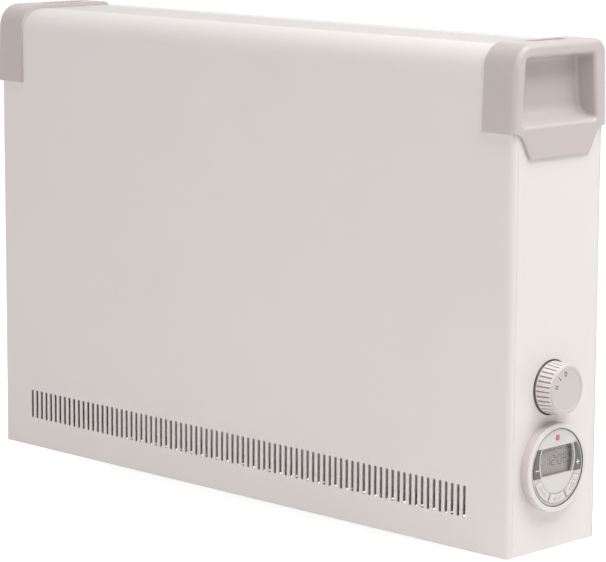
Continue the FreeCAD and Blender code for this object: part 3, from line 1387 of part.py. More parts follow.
# screws: pan heads on the outside, threads towards the front
def screw_group(name, places):
    screws = []
    for index, (x, y, z) in enumerate(places):
        length = "Sizes.thread_length"
        head = cylinder(f"{name}_head_{index}", along_y, x, y, z, "Sizes.head_radius", "Sizes.head_height")
        start = f"{y} - {length}"
        thread = cylinder(f"{name}_thread_{index}", along_y, x, start, z, "Sizes.thread_radius", length)
        screws.append(fuse(f"{name}_{index}", head, thread))
    keep(group(name, *screws), name)


for element_name, element_z in element_heights.items():
    heating_element(element_name, element_z)
element_support("left_element_support", "1")
element_support("middle_element_support", "(floor(Sizes.fin_count / 2) - 1)")
control_partition()
element_bushes()
heat_shield()
thermal_cutout()
cable_gland()
terminal_block()
wall_bracket()
wall_buffers()
sides = (-1, 1)
screw_group("case_screws", [(case_screw_x(side), back_y, z) for side in sides for z in case_screw_heights])
seat_y = f"{back_y} + Sizes.seat"
screw_group("handle_screws", [
    (handle_screw_x(side), seat_y, z) for side in sides for z in handle_screw_heights
])


# inner wiring, each wire a tube along straight runs with round bends
def wire(points):
    bend = number("Sizes.wire_bend")
    edges = []
    start = points[0]
    for corner, following in zip(points[1:-1], points[2:]):
        before = (corner - start).normalize()
        after = (following - corner).normalize()
        turn = before.getAngle(after)
        entry = corner - before * (bend * math.tan(turn / 2))
        leave = corner + after * (bend * math.tan(turn / 2))
        inward = (after - before).normalize()
        crown = corner + inward * (bend / math.cos(turn / 2) - bend)
        edges.append(Part.LineSegment(start, entry).toShape())
        edges.append(Part.Arc(entry, crown, leave).toShape())
        start = leave
    edges.append(Part.LineSegment(start, points[-1]).toShape())
    ring = Part.makeCircle(number("Sizes.wire_radius"), points[0], points[1] - points[0])
    return Part.Wire(edges).makePipeShell([Part.Wire(ring)], True, True)


def wiring_loom():
    web = number(f"{partition_x} + Sizes.steel")
    tag_x, inner, middle, outer = (
        web + number(f"Sizes.{lane}_lane") for lane in ("tag", "inner", "middle", "outer")
    )
    inner_tip = number("Sizes.slide")
    run = number("Sizes.flange")
    bend = number("Sizes.wire_bend")
    # ends of the wires
    well_x = number(f"{partition_x} + Sizes.steel + Sizes.block_depth / 2")
    well_z = number(f"{block_z} + Sizes.block_height / 2 + 2 * Sizes.steel")
    wells = [Vector(well_x, number(y), well_z) for y in well_places]
    timer_tip = number(f"{half_x} - Sizes.barrel_depth - Sizes.barrel_wall - Sizes.tact_height") - inner_tip
    timer_tags = [
        Vector(timer_tip, number(f"{control_y} + {index} * {key_middle} / 2"),
               number(f"{timer_z} - {key_middle} / 2 + Sizes.steel / 2"))
        for index in (-1, 0)
    ]
    switch_tags = [
        Vector(tag_x, number(f"{control_y} + {index} * Sizes.switch_size / 4"),
               number(f"{knob_z} - Sizes.switch_size / 4") - inner_tip)
        for index in (-1, 0, 1)
    ]
    pin_x = number(f"{element_end_x} + Sizes.pin_length") + inner_tip
    pins = {
        (level, leg): Vector(pin_x, number(leg_places[leg]), number(z))
        for level, z in enumerate(element_heights.values()) for leg in (0, 1)
    }
    cutout_tip = number(f"{shield_y} - Sizes.cutout_depth - Sizes.tact_height") - inner_tip
    cutout_tags = [
        Vector(number(f"{cutout_x} + {side} * Sizes.cutout_radius / 2"), cutout_tip, number(cutout_z))
        for side in (1, -1)
    ]
    passes = [number(y) for y in wire_passes]

    def moved(point, x=None, y=None, z=None):
        return Vector(point.x if x is None else x, point.y if y is None else y, point.z if z is None else z)

    below_switch = number(f"{knob_z} - Sizes.switch_size / 2") - run
    block_top = number(f"{block_z} + Sizes.block_height")
    rear_lane = wells[2].y + run
    front_lane = switch_tags[0].y - 2 * run
    side_lane = switch_tags[2].y + run
    supply_z = block_top + run
    routes = [
        # supply to timer
        [wells[0], moved(wells[0], z=supply_z), moved(timer_tags[0], x=inner, z=supply_z),
         moved(timer_tags[0], x=inner), timer_tags[0]],
        # timer to switch
        [timer_tags[1], moved(timer_tags[1], x=inner),
         moved(timer_tags[1], x=inner, z=below_switch - 2 * run),
         moved(switch_tags[0], z=below_switch), switch_tags[0]],
        # switch to cut-out
        [switch_tags[1], moved(switch_tags[1], z=below_switch), Vector(inner, passes[0], below_switch),
         Vector(inner, passes[0], cutout_tags[0].z),
         moved(cutout_tags[0], x=cutout_tags[0].x + 2 * run, y=passes[0]),
         moved(cutout_tags[0], x=cutout_tags[0].x + run, y=cutout_tip - run),
         moved(cutout_tags[0], y=cutout_tip - run), cutout_tags[0]],
        # cut-out to upper element
        [cutout_tags[1], moved(cutout_tags[1], y=passes[1]), Vector(outer, passes[1], cutout_tags[1].z),
         Vector(outer, passes[1], pins[1, 1].z + run), moved(pins[1, 1], x=outer), pins[1, 1]],
        # switch to lower element
        [switch_tags[2], moved(switch_tags[2], z=below_switch + bend),
         Vector(middle, side_lane, below_switch + bend),
         Vector(middle, side_lane, pins[0, 0].z - 2 * run),
         moved(pins[0, 0], x=outer, z=pins[0, 0].z - 1.5 * run),
         moved(pins[0, 0], x=outer), pins[0, 0]],
        # neutral to lower element
        [wells[2], moved(wells[2], z=supply_z), moved(wells[2], y=rear_lane, z=supply_z + run),
         Vector(inner, rear_lane, pins[0, 1].z - 2 * run), moved(pins[0, 1], x=outer, z=pins[0, 1].z - run),
         moved(pins[0, 1], x=outer), pins[0, 1]],
        # neutral to upper element
        [wells[1], moved(wells[1], z=supply_z + 2 * run), Vector(middle, wells[1].y, supply_z + 3 * run),
         Vector(middle, front_lane, supply_z + 3 * run), Vector(middle, front_lane, pins[1, 0].z - run),
         moved(pins[1, 0], x=outer, y=pins[1, 0].y - run), moved(pins[1, 0], x=outer), pins[1, 0]],
    ]
    loom = document.addObject("Part::Feature", "wiring_loom")
    loom.Shape = Part.makeCompound([wire(points) for points in routes])
    keep(loom, "wiring_loom")


wiring_loom()

document.recompute()
for item in document.Objects:
    if "Invalid" in item.State or "Error" in item.State:
        raise RuntimeError(f"{item.Label} did not build: {item.State}")
os.makedirs("parts", exist_ok=True)
for node in nodes:
    if node.Shape.isNull() or not node.Shape.isValid():
        raise RuntimeError(f"{node.Label} has no valid shape")
    node.Shape.exportStep(f"parts/{node.Label}.step")
print(f"{len(nodes)} parts written")
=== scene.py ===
import math
import bpy
import numpy as np
from mathutils import Matrix, Vector


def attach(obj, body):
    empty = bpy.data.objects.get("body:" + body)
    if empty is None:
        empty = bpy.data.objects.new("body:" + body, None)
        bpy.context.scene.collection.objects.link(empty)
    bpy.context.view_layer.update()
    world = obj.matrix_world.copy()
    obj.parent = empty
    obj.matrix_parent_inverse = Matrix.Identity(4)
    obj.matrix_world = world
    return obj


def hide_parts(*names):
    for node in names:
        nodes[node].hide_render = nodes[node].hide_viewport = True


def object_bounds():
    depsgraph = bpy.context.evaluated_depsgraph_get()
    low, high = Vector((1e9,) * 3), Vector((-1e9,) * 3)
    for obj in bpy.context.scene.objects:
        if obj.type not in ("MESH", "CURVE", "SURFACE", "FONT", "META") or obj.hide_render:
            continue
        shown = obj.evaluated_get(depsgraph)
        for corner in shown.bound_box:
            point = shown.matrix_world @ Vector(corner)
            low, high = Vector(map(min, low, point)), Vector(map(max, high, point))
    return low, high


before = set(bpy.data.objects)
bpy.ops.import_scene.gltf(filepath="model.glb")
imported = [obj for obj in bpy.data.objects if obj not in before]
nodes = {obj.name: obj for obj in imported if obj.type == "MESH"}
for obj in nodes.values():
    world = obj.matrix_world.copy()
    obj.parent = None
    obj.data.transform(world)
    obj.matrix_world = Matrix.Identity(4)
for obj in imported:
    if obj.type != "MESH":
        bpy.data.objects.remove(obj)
cadBox = [list(corner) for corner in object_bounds()]
scene = bpy.context.scene
print("frame loaded:", len(nodes), "nodes")

# the photograph's view: yaw, pitch and roll of the line of sight in degrees, lens on a 36 mm sensor
viewPoint = {
    "place": (1.922, -1.9915, 0.296), "yaw": 44.55, "pitch": 9.36, "roll": 0.28,
    "lens": 170.4, "sensor": 36, "near": 0.05, "far": 60,
}


def makeCamera(spec):
    yaw, pitch, roll = (math.radians(spec[word]) for word in ("yaw", "pitch", "roll"))
    ahead = Vector((-math.sin(yaw) * math.cos(pitch), math.cos(yaw) * math.cos(pitch), -math.sin(pitch)))
    level = Vector((math.cos(yaw), math.sin(yaw), 0))
    above = level.cross(ahead)
    right = level * math.cos(roll) + above * math.sin(roll)
    up = above * math.cos(roll) - level * math.sin(roll)
    data = bpy.data.cameras.new("camera")
    data.lens, data.sensor_width = spec["lens"], spec["sensor"]
    data.clip_start, data.clip_end = spec["near"], spec["far"]
    camera = bpy.data.objects.new("camera", data)
    turn = Matrix((right, up, -ahead)).transposed().to_4x4()
    camera.matrix_world = Matrix.Translation(spec["place"]) @ turn
    scene.collection.objects.link(camera)
    scene.camera = camera


makeCamera(viewPoint)
scene.view_settings.view_transform = "Standard"
print("camera placed")

# white surround for camera, gloss and glass rays; a pale floor that keeps the shadow; soft boxes;
# the floor lies a little under the heater, so that light reaches the air slots in its base
studio = {
    "ambient": 0.25, "floorColour": (0.92, 0.915, 0.91), "floorGlow": 0.78, "floorHalf": 14.0,
    "floorGap": 0.022,
    "boxes": {
        # place, aimed at, width, height, watts, colour
        "endBox": ((2.75, 0.3, -0.1), (0.34, -0.05, -0.2), 2.0, 2.0, 8.4, (0.96, 0.985, 1.0)),
        "frontBox": ((0.35, -2.6, 0.1), (0.1, -0.1, -0.1), 1.6, 1.6, 6.5, (1.0, 0.955, 0.95)),
        "leftBox": ((-0.45, -2.5, 0.4), (0.0, -0.1, -0.1), 1.4, 1.2, 10.8, (1.0, 0.955, 0.95)),
        "topBox": ((1.2, -0.1, 1.9), (0.1, -0.05, 0.1), 1.7, 1.6, 43, (0.99, 0.995, 0.99)),
        "fillBox": ((-2.4, 0.2, 0.5), (-0.34, -0.06, -0.1), 1.6, 1.6, 8, (1.0, 0.985, 0.98)),
        "rearBox": ((1.3, 0.9, 1.7), (0.1, -0.05, 0.1), 1.4, 1.4, 14, (0.99, 0.995, 0.99)),
    },
}


def node(tree, kind, **sockets):
    item = tree.nodes.new(kind)
    for socket, value in sockets.items():
        item.inputs[socket.replace("_", " ")].default_value = value
    return item


def seenByCamera(tree):
    # 1 for camera, glossy and transmission rays, otherwise 0
    path = node(tree, "ShaderNodeLightPath")
    seen = path.outputs["Is Camera Ray"]
    for ray in ("Is Glossy Ray", "Is Transmission Ray"):
        either = node(tree, "ShaderNodeMath")
        either.operation = "MAXIMUM"
        tree.links.new(seen, either.inputs[0])
        tree.links.new(path.outputs[ray], either.inputs[1])
        seen = either.outputs[0]
    return seen


def makeSurround(spec):
    world = bpy.data.worlds.new("surround")
    scene.world = world
    world.use_nodes = True
    tree = world.node_tree
    tree.nodes.clear()
    soft = node(tree, "ShaderNodeBackground", Color=(1, 1, 1, 1), Strength=spec["ambient"])
    white = node(tree, "ShaderNodeBackground", Color=(1, 1, 1, 1))
    pick = node(tree, "ShaderNodeMixShader")
    out = node(tree, "ShaderNodeOutputWorld")
    tree.links.new(seenByCamera(tree), pick.inputs[0])
    tree.links.new(soft.outputs[0], pick.inputs[1])
    tree.links.new(white.outputs[0], pick.inputs[2])
    tree.links.new(pick.outputs[0], out.inputs[0])


def makeFloor(spec):
    half, ground = spec["floorHalf"], cadBox[0][2] - spec["floorGap"]
    corners = [(-half, -half, ground), (half, -half, ground), (half, half, ground), (-half, half, ground)]
    mesh = bpy.data.meshes.new("floor")
    mesh.from_pydata(corners, [], [(0, 1, 2, 3)])
    floor = bpy.data.objects.new("floor", mesh)
    scene.collection.objects.link(floor)
    material = bpy.data.materials.new("floorPaper")
    material.use_nodes = True
    tree = material.node_tree
    tree.nodes.clear()
    paper = node(tree, "ShaderNodeBsdfDiffuse", Color=(*spec["floorColour"], 1))
    glow = node(tree, "ShaderNodeEmission", Color=(1, 1, 1, 1))
    strength = node(tree, "ShaderNodeMath")
    strength.operation = "MULTIPLY"
    strength.inputs[1].default_value = spec["floorGlow"]
    both = node(tree, "ShaderNodeAddShader")
    out = node(tree, "ShaderNodeOutputMaterial")
    tree.links.new(seenByCamera(tree), strength.inputs[0])
    tree.links.new(strength.outputs[0], glow.inputs["Strength"])
    tree.links.new(paper.outputs[0], both.inputs[0])
    tree.links.new(glow.outputs[0], both.inputs[1])
    tree.links.new(both.outputs[0], out.inputs[0])
    mesh.materials.append(material)


def makeLights(spec):
    for name, (place, target, width, height, watts, colour) in spec["boxes"].items():
        data = bpy.data.lights.new(name, "AREA")
        data.shape, data.size, data.size_y = "RECTANGLE", width, height
        data.energy, data.color = watts, colour
        lamp = bpy.data.objects.new(name, data)
        lamp.location = place
        lamp.rotation_mode = "QUATERNION"
        lamp.rotation_quaternion = (Vector(target) - Vector(place)).to_track_quat("-Z", "Y")
        scene.collection.objects.link(lamp)


makeSurround(studio)
makeFloor(studio)
makeLights(studio)
print("studio lit")


# what all finishes share: size of the tone patches in metres, gloss patches as a share of it, noise detail
finishBase = {"patch": 0.07, "glossShare": 0.25, "toneDetail": 3, "fineDetail": 2, "bump": 0.6}
# painted groove shade starts and is full at these shares of the depth, and ends over this length in metres
grooveShadeEdge = {"start": 0.15, "full": 0.8, "end": 0.0004}
# places of the colour sockets on a Mix node
mixSockets = {"first": 6, "second": 7, "result": 2}


def srgb(*values):
    # 0 to 255 display values as linear light, by the sRGB curve
    shares = np.array(values) / 255
    return tuple(np.where(shares <= 0.04045, shares / 12.92, ((shares + 0.055) / 1.055) ** 2.4))


def finish(name, spec):
    # broad noise or crystal cells blend two tones, painted shade in grooves and painted light and shade
    # along fades lie over them, a middle noise varies the gloss and a fine noise is the grain; all on
    # Object coordinates, in metres
    material = bpy.data.materials.new(name)
    material.use_nodes = True
    tree = material.node_tree
    principled = tree.nodes["Principled BSDF"]
    coords = node(tree, "ShaderNodeTexCoord").outputs["Object"]

    def noise(size, detail):
        item = node(tree, "ShaderNodeTexNoise", Scale=1 / size, Detail=detail)
        tree.links.new(coords, item.inputs["Vector"])
        return item.outputs["Fac"]

    def cells(size):
        item = node(tree, "ShaderNodeTexVoronoi", Scale=1 / size)
        tree.links.new(coords, item.inputs["Vector"])
        split = node(tree, "ShaderNodeSeparateColor")
        tree.links.new(item.outputs["Color"], split.inputs[0])
        return split.outputs[0]

    def blend(share, first, second):
        item = node(tree, "ShaderNodeMix")
        item.data_type = "RGBA"
        tree.links.new(share, item.inputs[0])
        for socket, colour in (("first", first), ("second", second)):
            target = item.inputs[mixSockets[socket]]
            if isinstance(colour, tuple):
                target.default_value = (*srgb(*colour), 1)
            else:
                tree.links.new(colour, target)
        return item.outputs[mixSockets["result"]]

    def ramp(value, low, high):
        item = node(tree, "ShaderNodeMapRange")
        item.inputs["From Min"].default_value, item.inputs["From Max"].default_value = low, high
        tree.links.new(value, item.inputs["Value"])
        return item.outputs[0]

    def times(value, factor):
        item = node(tree, "ShaderNodeMath")
        item.operation = "MULTIPLY"
        tree.links.new(value, item.inputs[0])
        if isinstance(factor, float):
            item.inputs[1].default_value = factor
        else:
            tree.links.new(factor, item.inputs[1])
        return item.outputs[0]

    def grooves(spot, start, fall, reach, depth):
        # how far a point lies inside the cone r = start - fall x about the axis through spot,
        # over the cone's reach
        shift = node(tree, "ShaderNodeMapping", Location=tuple(-value for value in spot))
        tree.links.new(coords, shift.inputs["Vector"])
        parts = node(tree, "ShaderNodeSeparateXYZ")
        tree.links.new(shift.outputs[0], parts.inputs[0])
        flat = node(tree, "ShaderNodeCombineXYZ")
        tree.links.new(parts.outputs[1], flat.inputs[1])
        tree.links.new(parts.outputs[2], flat.inputs[2])
        radius = node(tree, "ShaderNodeVectorMath")
        radius.operation = "LENGTH"
        tree.links.new(flat.outputs[0], radius.inputs[0])
        inside = node(tree, "ShaderNodeMath")
        inside.operation = "ADD"
        tree.links.new(times(parts.outputs[0], fall), inside.inputs[0])
        tree.links.new(radius.outputs["Value"], inside.inputs[1])
        edge = grooveShadeEdge
        deep = ramp(inside.outputs[0], start - edge["start"] * depth, start - edge["full"] * depth)
        return times(deep, ramp(parts.outputs[0], reach, reach - edge["end"]))

    def fade(axis, start, end):
        # 0 to 1 along one axis
        parts = node(tree, "ShaderNodeSeparateXYZ")
        tree.links.new(coords, parts.inputs[0])
        return ramp(parts.outputs[axis], start, end)

    base = finishBase
    patch = spec.get("patch", base["patch"])
    share = cells(patch) if spec.get("cells") else noise(patch, base["toneDetail"])
    colour = blend(share, *spec["tones"])
    if "grooves" in spec:
        colour = blend(grooves(**spec["grooves"]), colour, spec["grooveShadeTone"])
    for step in spec.get("lightShadeFades", []):
        colour = blend(fade(step["axis"], step["start"], step["end"]), colour, step["tone"])
    tree.links.new(colour, principled.inputs["Base Color"])
    spread = node(tree, "ShaderNodeMapRange")
    spread.inputs["To Min"].default_value, spread.inputs["To Max"].default_value = spec["rough"]
    tree.links.new(noise(patch * base["glossShare"], base["fineDetail"]), spread.inputs["Value"])
    tree.links.new(spread.outputs[0], principled.inputs["Roughness"])
    bump = node(tree, "ShaderNodeBump", Distance=spec["depth"], Strength=base["bump"])
    tree.links.new(noise(spec["grain"], base["fineDetail"]), bump.inputs["Height"])
    tree.links.new(bump.outputs[0], principled.inputs["Normal"])
    for socket, value in spec.get("shader", {}).items():
        principled.inputs[socket].default_value = value
    return material


# tones as display colours, rough from least to most, all lengths in metres;
# a fade is full at its end, and shader sets inputs of the Principled node
finishSpecs = {
    "casingPaint": {
        "tones": ((227, 221, 219), (224, 217, 215)), "rough": (0.34, 0.42), "grain": 0.0012, "depth": 4e-5,
    },
    "innerPaint": {
        "tones": ((246, 244, 242), (243, 241, 239)), "rough": (0.40, 0.50), "grain": 0.0012, "depth": 4e-5,
    },
    "handleShell": {
        "tones": ((195, 185, 184), (192, 182, 180)), "rough": (0.30, 0.38), "grain": 0.0006, "depth": 3e-5,
    },
    "knobShell": {
        "tones": ((226, 218, 217), (222, 214, 213)), "rough": (0.36, 0.46), "grain": 0.0006, "depth": 3e-5,
        # painted light and shade: the flat face painted darker than the flank, standing in for the light on
        # the flank, and a dark band at the edge next to the end panel, a painted shadow of the gap there
        "lightShadeFades": [
            {"axis": 0, "start": 0.3584, "end": 0.3594, "tone": (200, 191, 189)},
            {"axis": 0, "start": 0.3439, "end": 0.3434, "tone": (112, 105, 103)},
        ],
        # painted shade: the flutes take a darker tone, standing in for the shade that falls in them
        "grooves": {
            "spot": (0.342, -0.0743, -0.2054), "start": 0.0238, "fall": 0.1105,
            "reach": 0.0158, "depth": 0.00075,
        },
        "grooveShadeTone": (158, 148, 146),
    },
    "bezelShell": {
        "tones": ((213, 205, 204), (209, 201, 200)), "rough": (0.26, 0.34), "grain": 0.0005, "depth": 1e-5,
        # the rim painted lighter than the flank, a painted highlight
        "lightShadeFades": [{"axis": 0, "start": 0.3493, "end": 0.3503, "tone": (219, 213, 211)}],
    },
    "faceWhite": {
        "tones": ((212, 208, 205), (209, 204, 202)), "rough": (0.30, 0.38), "grain": 0.0006, "depth": 1e-5,
    },
    "sideKeyGrey": {
        "tones": ((99, 94, 93), (93, 88, 87)), "rough": (0.35, 0.45), "grain": 0.0005, "depth": 2e-5,
    },
    "lensClear": {
        "tones": ((196, 193, 190), (190, 187, 184)), "rough": (0.04, 0.08), "grain": 0.002, "depth": 4e-6,
        "shader": {"Alpha": 0.09, "IOR": 1.49},
    },
    "crystal": {
        "tones": ((158, 152, 149), (152, 146, 143)), "rough": (0.2, 0.3), "grain": 0.001, "depth": 5e-6,
        # painted shadow: the glass darkens towards its rear edge, where the window's edge shades it
        "lightShadeFades": [{"axis": 1, "start": -0.0600, "end": -0.0520, "tone": (60, 56, 54)}],
    },
    "lampRed": {
        "tones": ((208, 104, 134), (200, 92, 122)), "rough": (0.12, 0.2), "grain": 0.001, "depth": 1e-5,
    },
    "zinc": {
        "tones": ((196, 196, 194), (168, 169, 170)), "rough": (0.28, 0.44), "grain": 0.0016, "depth": 3e-5,
        "patch": 0.006, "cells": True, "shader": {"Metallic": 1.0},
    },
    "elementSteel": {
        "tones": ((134, 124, 114), (94, 88, 86)), "rough": (0.35, 0.55), "grain": 0.001, "depth": 4e-5,
        "patch": 0.025, "shader": {"Metallic": 1.0},
    },
    "blackPlastic": {
        "tones": ((54, 54, 56), (44, 44, 46)), "rough": (0.42, 0.55), "grain": 0.0006, "depth": 4e-5,
    },
    "ceramic": {
        "tones": ((222, 214, 198), (208, 198, 182)), "rough": (0.5, 0.65), "grain": 0.0008, "depth": 4e-5,
        "patch": 0.004,
    },
    "rubber": {
        "tones": ((110, 107, 105), (96, 93, 92)), "rough": (0.6, 0.75), "grain": 0.0006, "depth": 5e-5,
        "patch": 0.008,
    },
    "laminate": {
        "tones": ((48, 104, 62), (38, 88, 50)), "rough": (0.3, 0.4), "grain": 0.001, "depth": 2e-5,
        "patch": 0.003, "cells": True,
    },
    "wireCover": {
        "tones": ((206, 200, 190), (194, 187, 176)), "rough": (0.4, 0.55), "grain": 0.001, "depth": 2e-5,
        "patch": 0.02,
    },
    "inkDark": {
        "tones": ((62, 58, 57), (56, 52, 51)), "rough": (0.5, 0.6), "grain": 0.0004, "depth": 5e-6,
    },
    "inkGrey": {
        "tones": ((160, 154, 151), (152, 146, 143)), "rough": (0.5, 0.6), "grain": 0.0004, "depth": 5e-6,
    },
    "inkWhite": {
        "tones": ((236, 233, 231), (231, 228, 226)), "rough": (0.45, 0.55), "grain": 0.0004, "depth": 5e-6,
    },
    "segmentGrey": {
        "tones": ((76, 72, 70), (70, 66, 64)), "rough": (0.3, 0.4), "grain": 0.0004, "depth": 2e-6,
    },
    # the dark ring in the timer's rim gap, painted shade for the gap's shadow
    "ringShadeDark": {
        "tones": ((88, 82, 80), (78, 73, 71)), "rough": (0.55, 0.7), "grain": 0.0006, "depth": 2e-5,
    },
}
finishes = {name: finish(name, spec) for name, spec in finishSpecs.items()}
wears = {
    "casingPaint": ["front_casing", "left_end_panel", "right_end_panel"],
    "innerPaint": ["back_panel", "base_plate"],
    "handleShell": ["left_handle", "right_handle"],
    "knobShell": ["selector_knob"],
    "bezelShell": ["timer_bezel"],
    "faceWhite": ["timer_face", "program_button", "enter_button", "clock_button"],
    "sideKeyGrey": ["minus_button", "plus_button"],
    "lensClear": ["display_lens"],
    "crystal": ["display_glass"],
    "lampRed": ["indicator_lamp"],
    "zinc": [
        "selector_shaft", "switch_nut", "switch_plate", "left_element_support", "middle_element_support",
        "control_partition", "heat_shield", "wall_bracket", "case_screws", "handle_screws",
    ],
    "elementSteel": ["lower_heating_element", "upper_heating_element"],
    "blackPlastic": [
        "rotary_switch", "timer_rear_cover", "timer_clamp_ring", "display_holder", "tact_switches",
        "thermal_cutout", "cable_gland", "gland_nut", "terminal_block",
    ],
    "ceramic": ["element_bushes"],
    "rubber": ["wall_buffers"],
    "laminate": ["timer_board"],
    "wireCover": ["wiring_loom"],
}
for look, members in wears.items():
    for member in members:
        slots = nodes[member].data.materials
        slots.clear()
        slots.append(finishes[look])
print("finishes on", sum(len(members) for members in wears.values()), "nodes")

# millimetres; the controls' axes stand on the right end panel
controls = {"endX": 342.0, "axisY": -74.3, "knobZ": -205.4, "timerZ": -276.4}


def onEnd(flat, out, axisZ):
    # flat runs to the back and up from the axis, out stands proud of the end panel
    across, height = controls["axisY"] + flat[..., 0], axisZ + flat[..., 1]
    return np.stack(np.broadcast_arrays(controls["endX"] + out, across, height), -1) / 1000


def gridFaces(rows, columns, wrap, first=0):
    # quads of a grid whose columns join up; wrap joins the last row to the first,
    # otherwise both ends are capped
    index = first + np.arange(rows * columns).reshape(rows, columns)
    low = index if wrap else index[:-1]
    high = np.roll(index, -1, 0) if wrap else index[1:]
    quads = np.stack([low, np.roll(low, -1, 1), np.roll(high, -1, 1), high], -1).reshape(-1, 4).tolist()
    if not wrap:
        quads += [index[0, ::-1].tolist(), index[-1].tolist()]
    return quads


def addPiece(name, patches, body, look):
    # patches are point grids with their wrap; all go into one mesh
    points, faces, count = [], [], 0
    for grid, wrap in patches:
        rows, columns = grid.shape[:2]
        points.append(grid.reshape(-1, 3))
        faces += gridFaces(rows, columns, wrap, count)
        count += rows * columns
    mesh = bpy.data.meshes.new(name)
    mesh.from_pydata(np.concatenate(points).tolist(), [], faces)
    mesh.polygons.foreach_set("use_smooth", np.ones(len(mesh.polygons), dtype=bool))
    mesh.materials.append(finishes[look])
    piece = bpy.data.objects.new(name, mesh)
    scene.collection.objects.link(piece)
    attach(piece, body)
    return piece


# a bead's end rounds in degrees and steps, the points round it, and the power that squares it off
bead = {"roundFrom": 15, "roundTo": 80, "roundSteps": 5, "points": 12, "square": 0.6}


def stroke(path, spec, axisZ, wrap=False):
    # S(u, v) = P(u) + w/2 c(v) N(u) + h s(v) O: a low rounded bead of width w and height h along
    # the path P, c and s squared off from cos and sin; an open path ends in half rounds
    path = np.asarray(path, dtype=float)
    half = spec["width"] / 2
    ahead = (np.roll(path, -1, 0) - np.roll(path, 1, 0)) if wrap else np.gradient(path, axis=0)
    ahead /= np.linalg.norm(ahead, axis=1, keepdims=True)
    share = np.ones(len(path))
    if not wrap:
        steps = bead["roundSteps"]
        lift = np.radians(np.linspace(bead["roundFrom"], bead["roundTo"], steps))
        tail = path[:1] - half * np.sin(lift[::-1, None]) * ahead[:1]
        nose = path[-1:] + half * np.sin(lift[:, None]) * ahead[-1:]
        share = np.concatenate([np.cos(lift[::-1]), share, np.cos(lift)])
        path = np.concatenate([tail, path, nose])
        ahead = np.concatenate([np.repeat(ahead[:1], steps, 0), ahead, np.repeat(ahead[-1:], steps, 0)])
    normal = np.stack([-ahead[:, 1], ahead[:, 0]], -1)
    v = np.linspace(0, 2 * np.pi, bead["points"], endpoint=False)
    side = np.sign(np.cos(v)) * np.abs(np.cos(v)) ** bead["square"]
    rise = np.sign(np.sin(v)) * np.abs(np.sin(v)) ** bead["square"]
    flat = path[:, None, :] + half * share[:, None, None] * side[None, :, None] * normal[:, None, :]
    out = spec["base"] + np.where(rise > 0, spec["rise"], spec["sink"]) * rise
    return onEnd(flat, np.broadcast_to(out, flat.shape[:2]), axisZ), wrap


def line(*corners, steps=3):
    # straight runs through the corners
    corners = np.asarray(corners, dtype=float)
    spots = np.linspace(0, len(corners) - 1, steps * (len(corners) - 1) + 1)
    return np.stack([np.interp(spots, np.arange(len(corners)), corners[:, k]) for k in (0, 1)], -1)


def ring(middle, across, height, count=40):
    turn = np.linspace(0, 2 * np.pi, count, endpoint=False)
    return np.asarray(middle) + np.stack([across * np.cos(turn), height * np.sin(turn)], -1)


# settings on the knob's face: a zero, one bar and two bars, their tops outwards
knobMarks = {
    "radius": 14.7, "angles": (9, 42, 74), "zero": (1.4, 1.95), "bar": 1.9, "gap": 0.95,
    "width": 0.9, "base": 17.8, "rise": 0.06, "sink": 0.05,
}


def makeKnobMarks(spec):
    bar, gap = spec["bar"], spec["gap"]
    symbols = [
        [(ring((0, 0), *spec["zero"]), True)],
        [(line((0, -bar), (0, bar)), False)],
        [(line((x, -bar), (x, bar)), False) for x in (-gap, gap)],
    ]
    patches = []
    for angle, symbol in zip(np.radians(spec["angles"]), symbols):
        outward = np.array([-np.sin(angle), np.cos(angle)])
        right = np.array([np.cos(angle), np.sin(angle)])
        for path, wrap in symbol:
            flat = (spec["radius"] + path[:, 1:]) * outward + path[:, :1] * right
            patches.append(stroke(flat, spec, controls["knobZ"], wrap))
    addPiece("knob_marks", patches, "selector", "inkDark")


makeKnobMarks(knobMarks)
print("knob marked")

# the three curved keys: a printed outline and a symbol on each, x along the key and y towards the
# dial's middle; facing is the middle key's angle, points go round an outline
keyPrint = {
    "inner": 23.65, "outer": 31.95, "halfSpan": 22.2, "step": 47.5, "corner": 9.0,
    "facing": -90, "points": 96,
    "outline": {"width": 0.48, "base": 8.9, "rise": 0.05, "sink": 0.05},
    "symbol": {"width": 0.55, "base": 8.9, "rise": 0.05, "sink": 0.05},
}
keySymbols = {
    "program_button": [
        (line((x, -1.9), (x, top)), False)
        for x, top in ((-6, 0), (-3.6, 1.9), (-1.2, 0.6), (1.2, 0.6), (3.6, 1.9), (6, 0))
    ],
    "enter_button": [
        (line((4.5, 1.9), (4.5, -0.3), (-4.5, -0.3)), False),
        (line((-2.6, 1.5), (-4.7, -0.3), (-2.6, -2.1)), False),
    ],
    "clock_button": [
        (ring((0, 0), 2.2, 2.2), True),
        (line((0, 1.3), (0, 0), (1.1, -0.4)), False),
        (line((-4.4, 1.3), (-5.7, 0), (-4.4, -1.3)), False),
        (line((4.4, 1.3), (5.7, 0), (4.4, -1.3)), False),
    ],
}


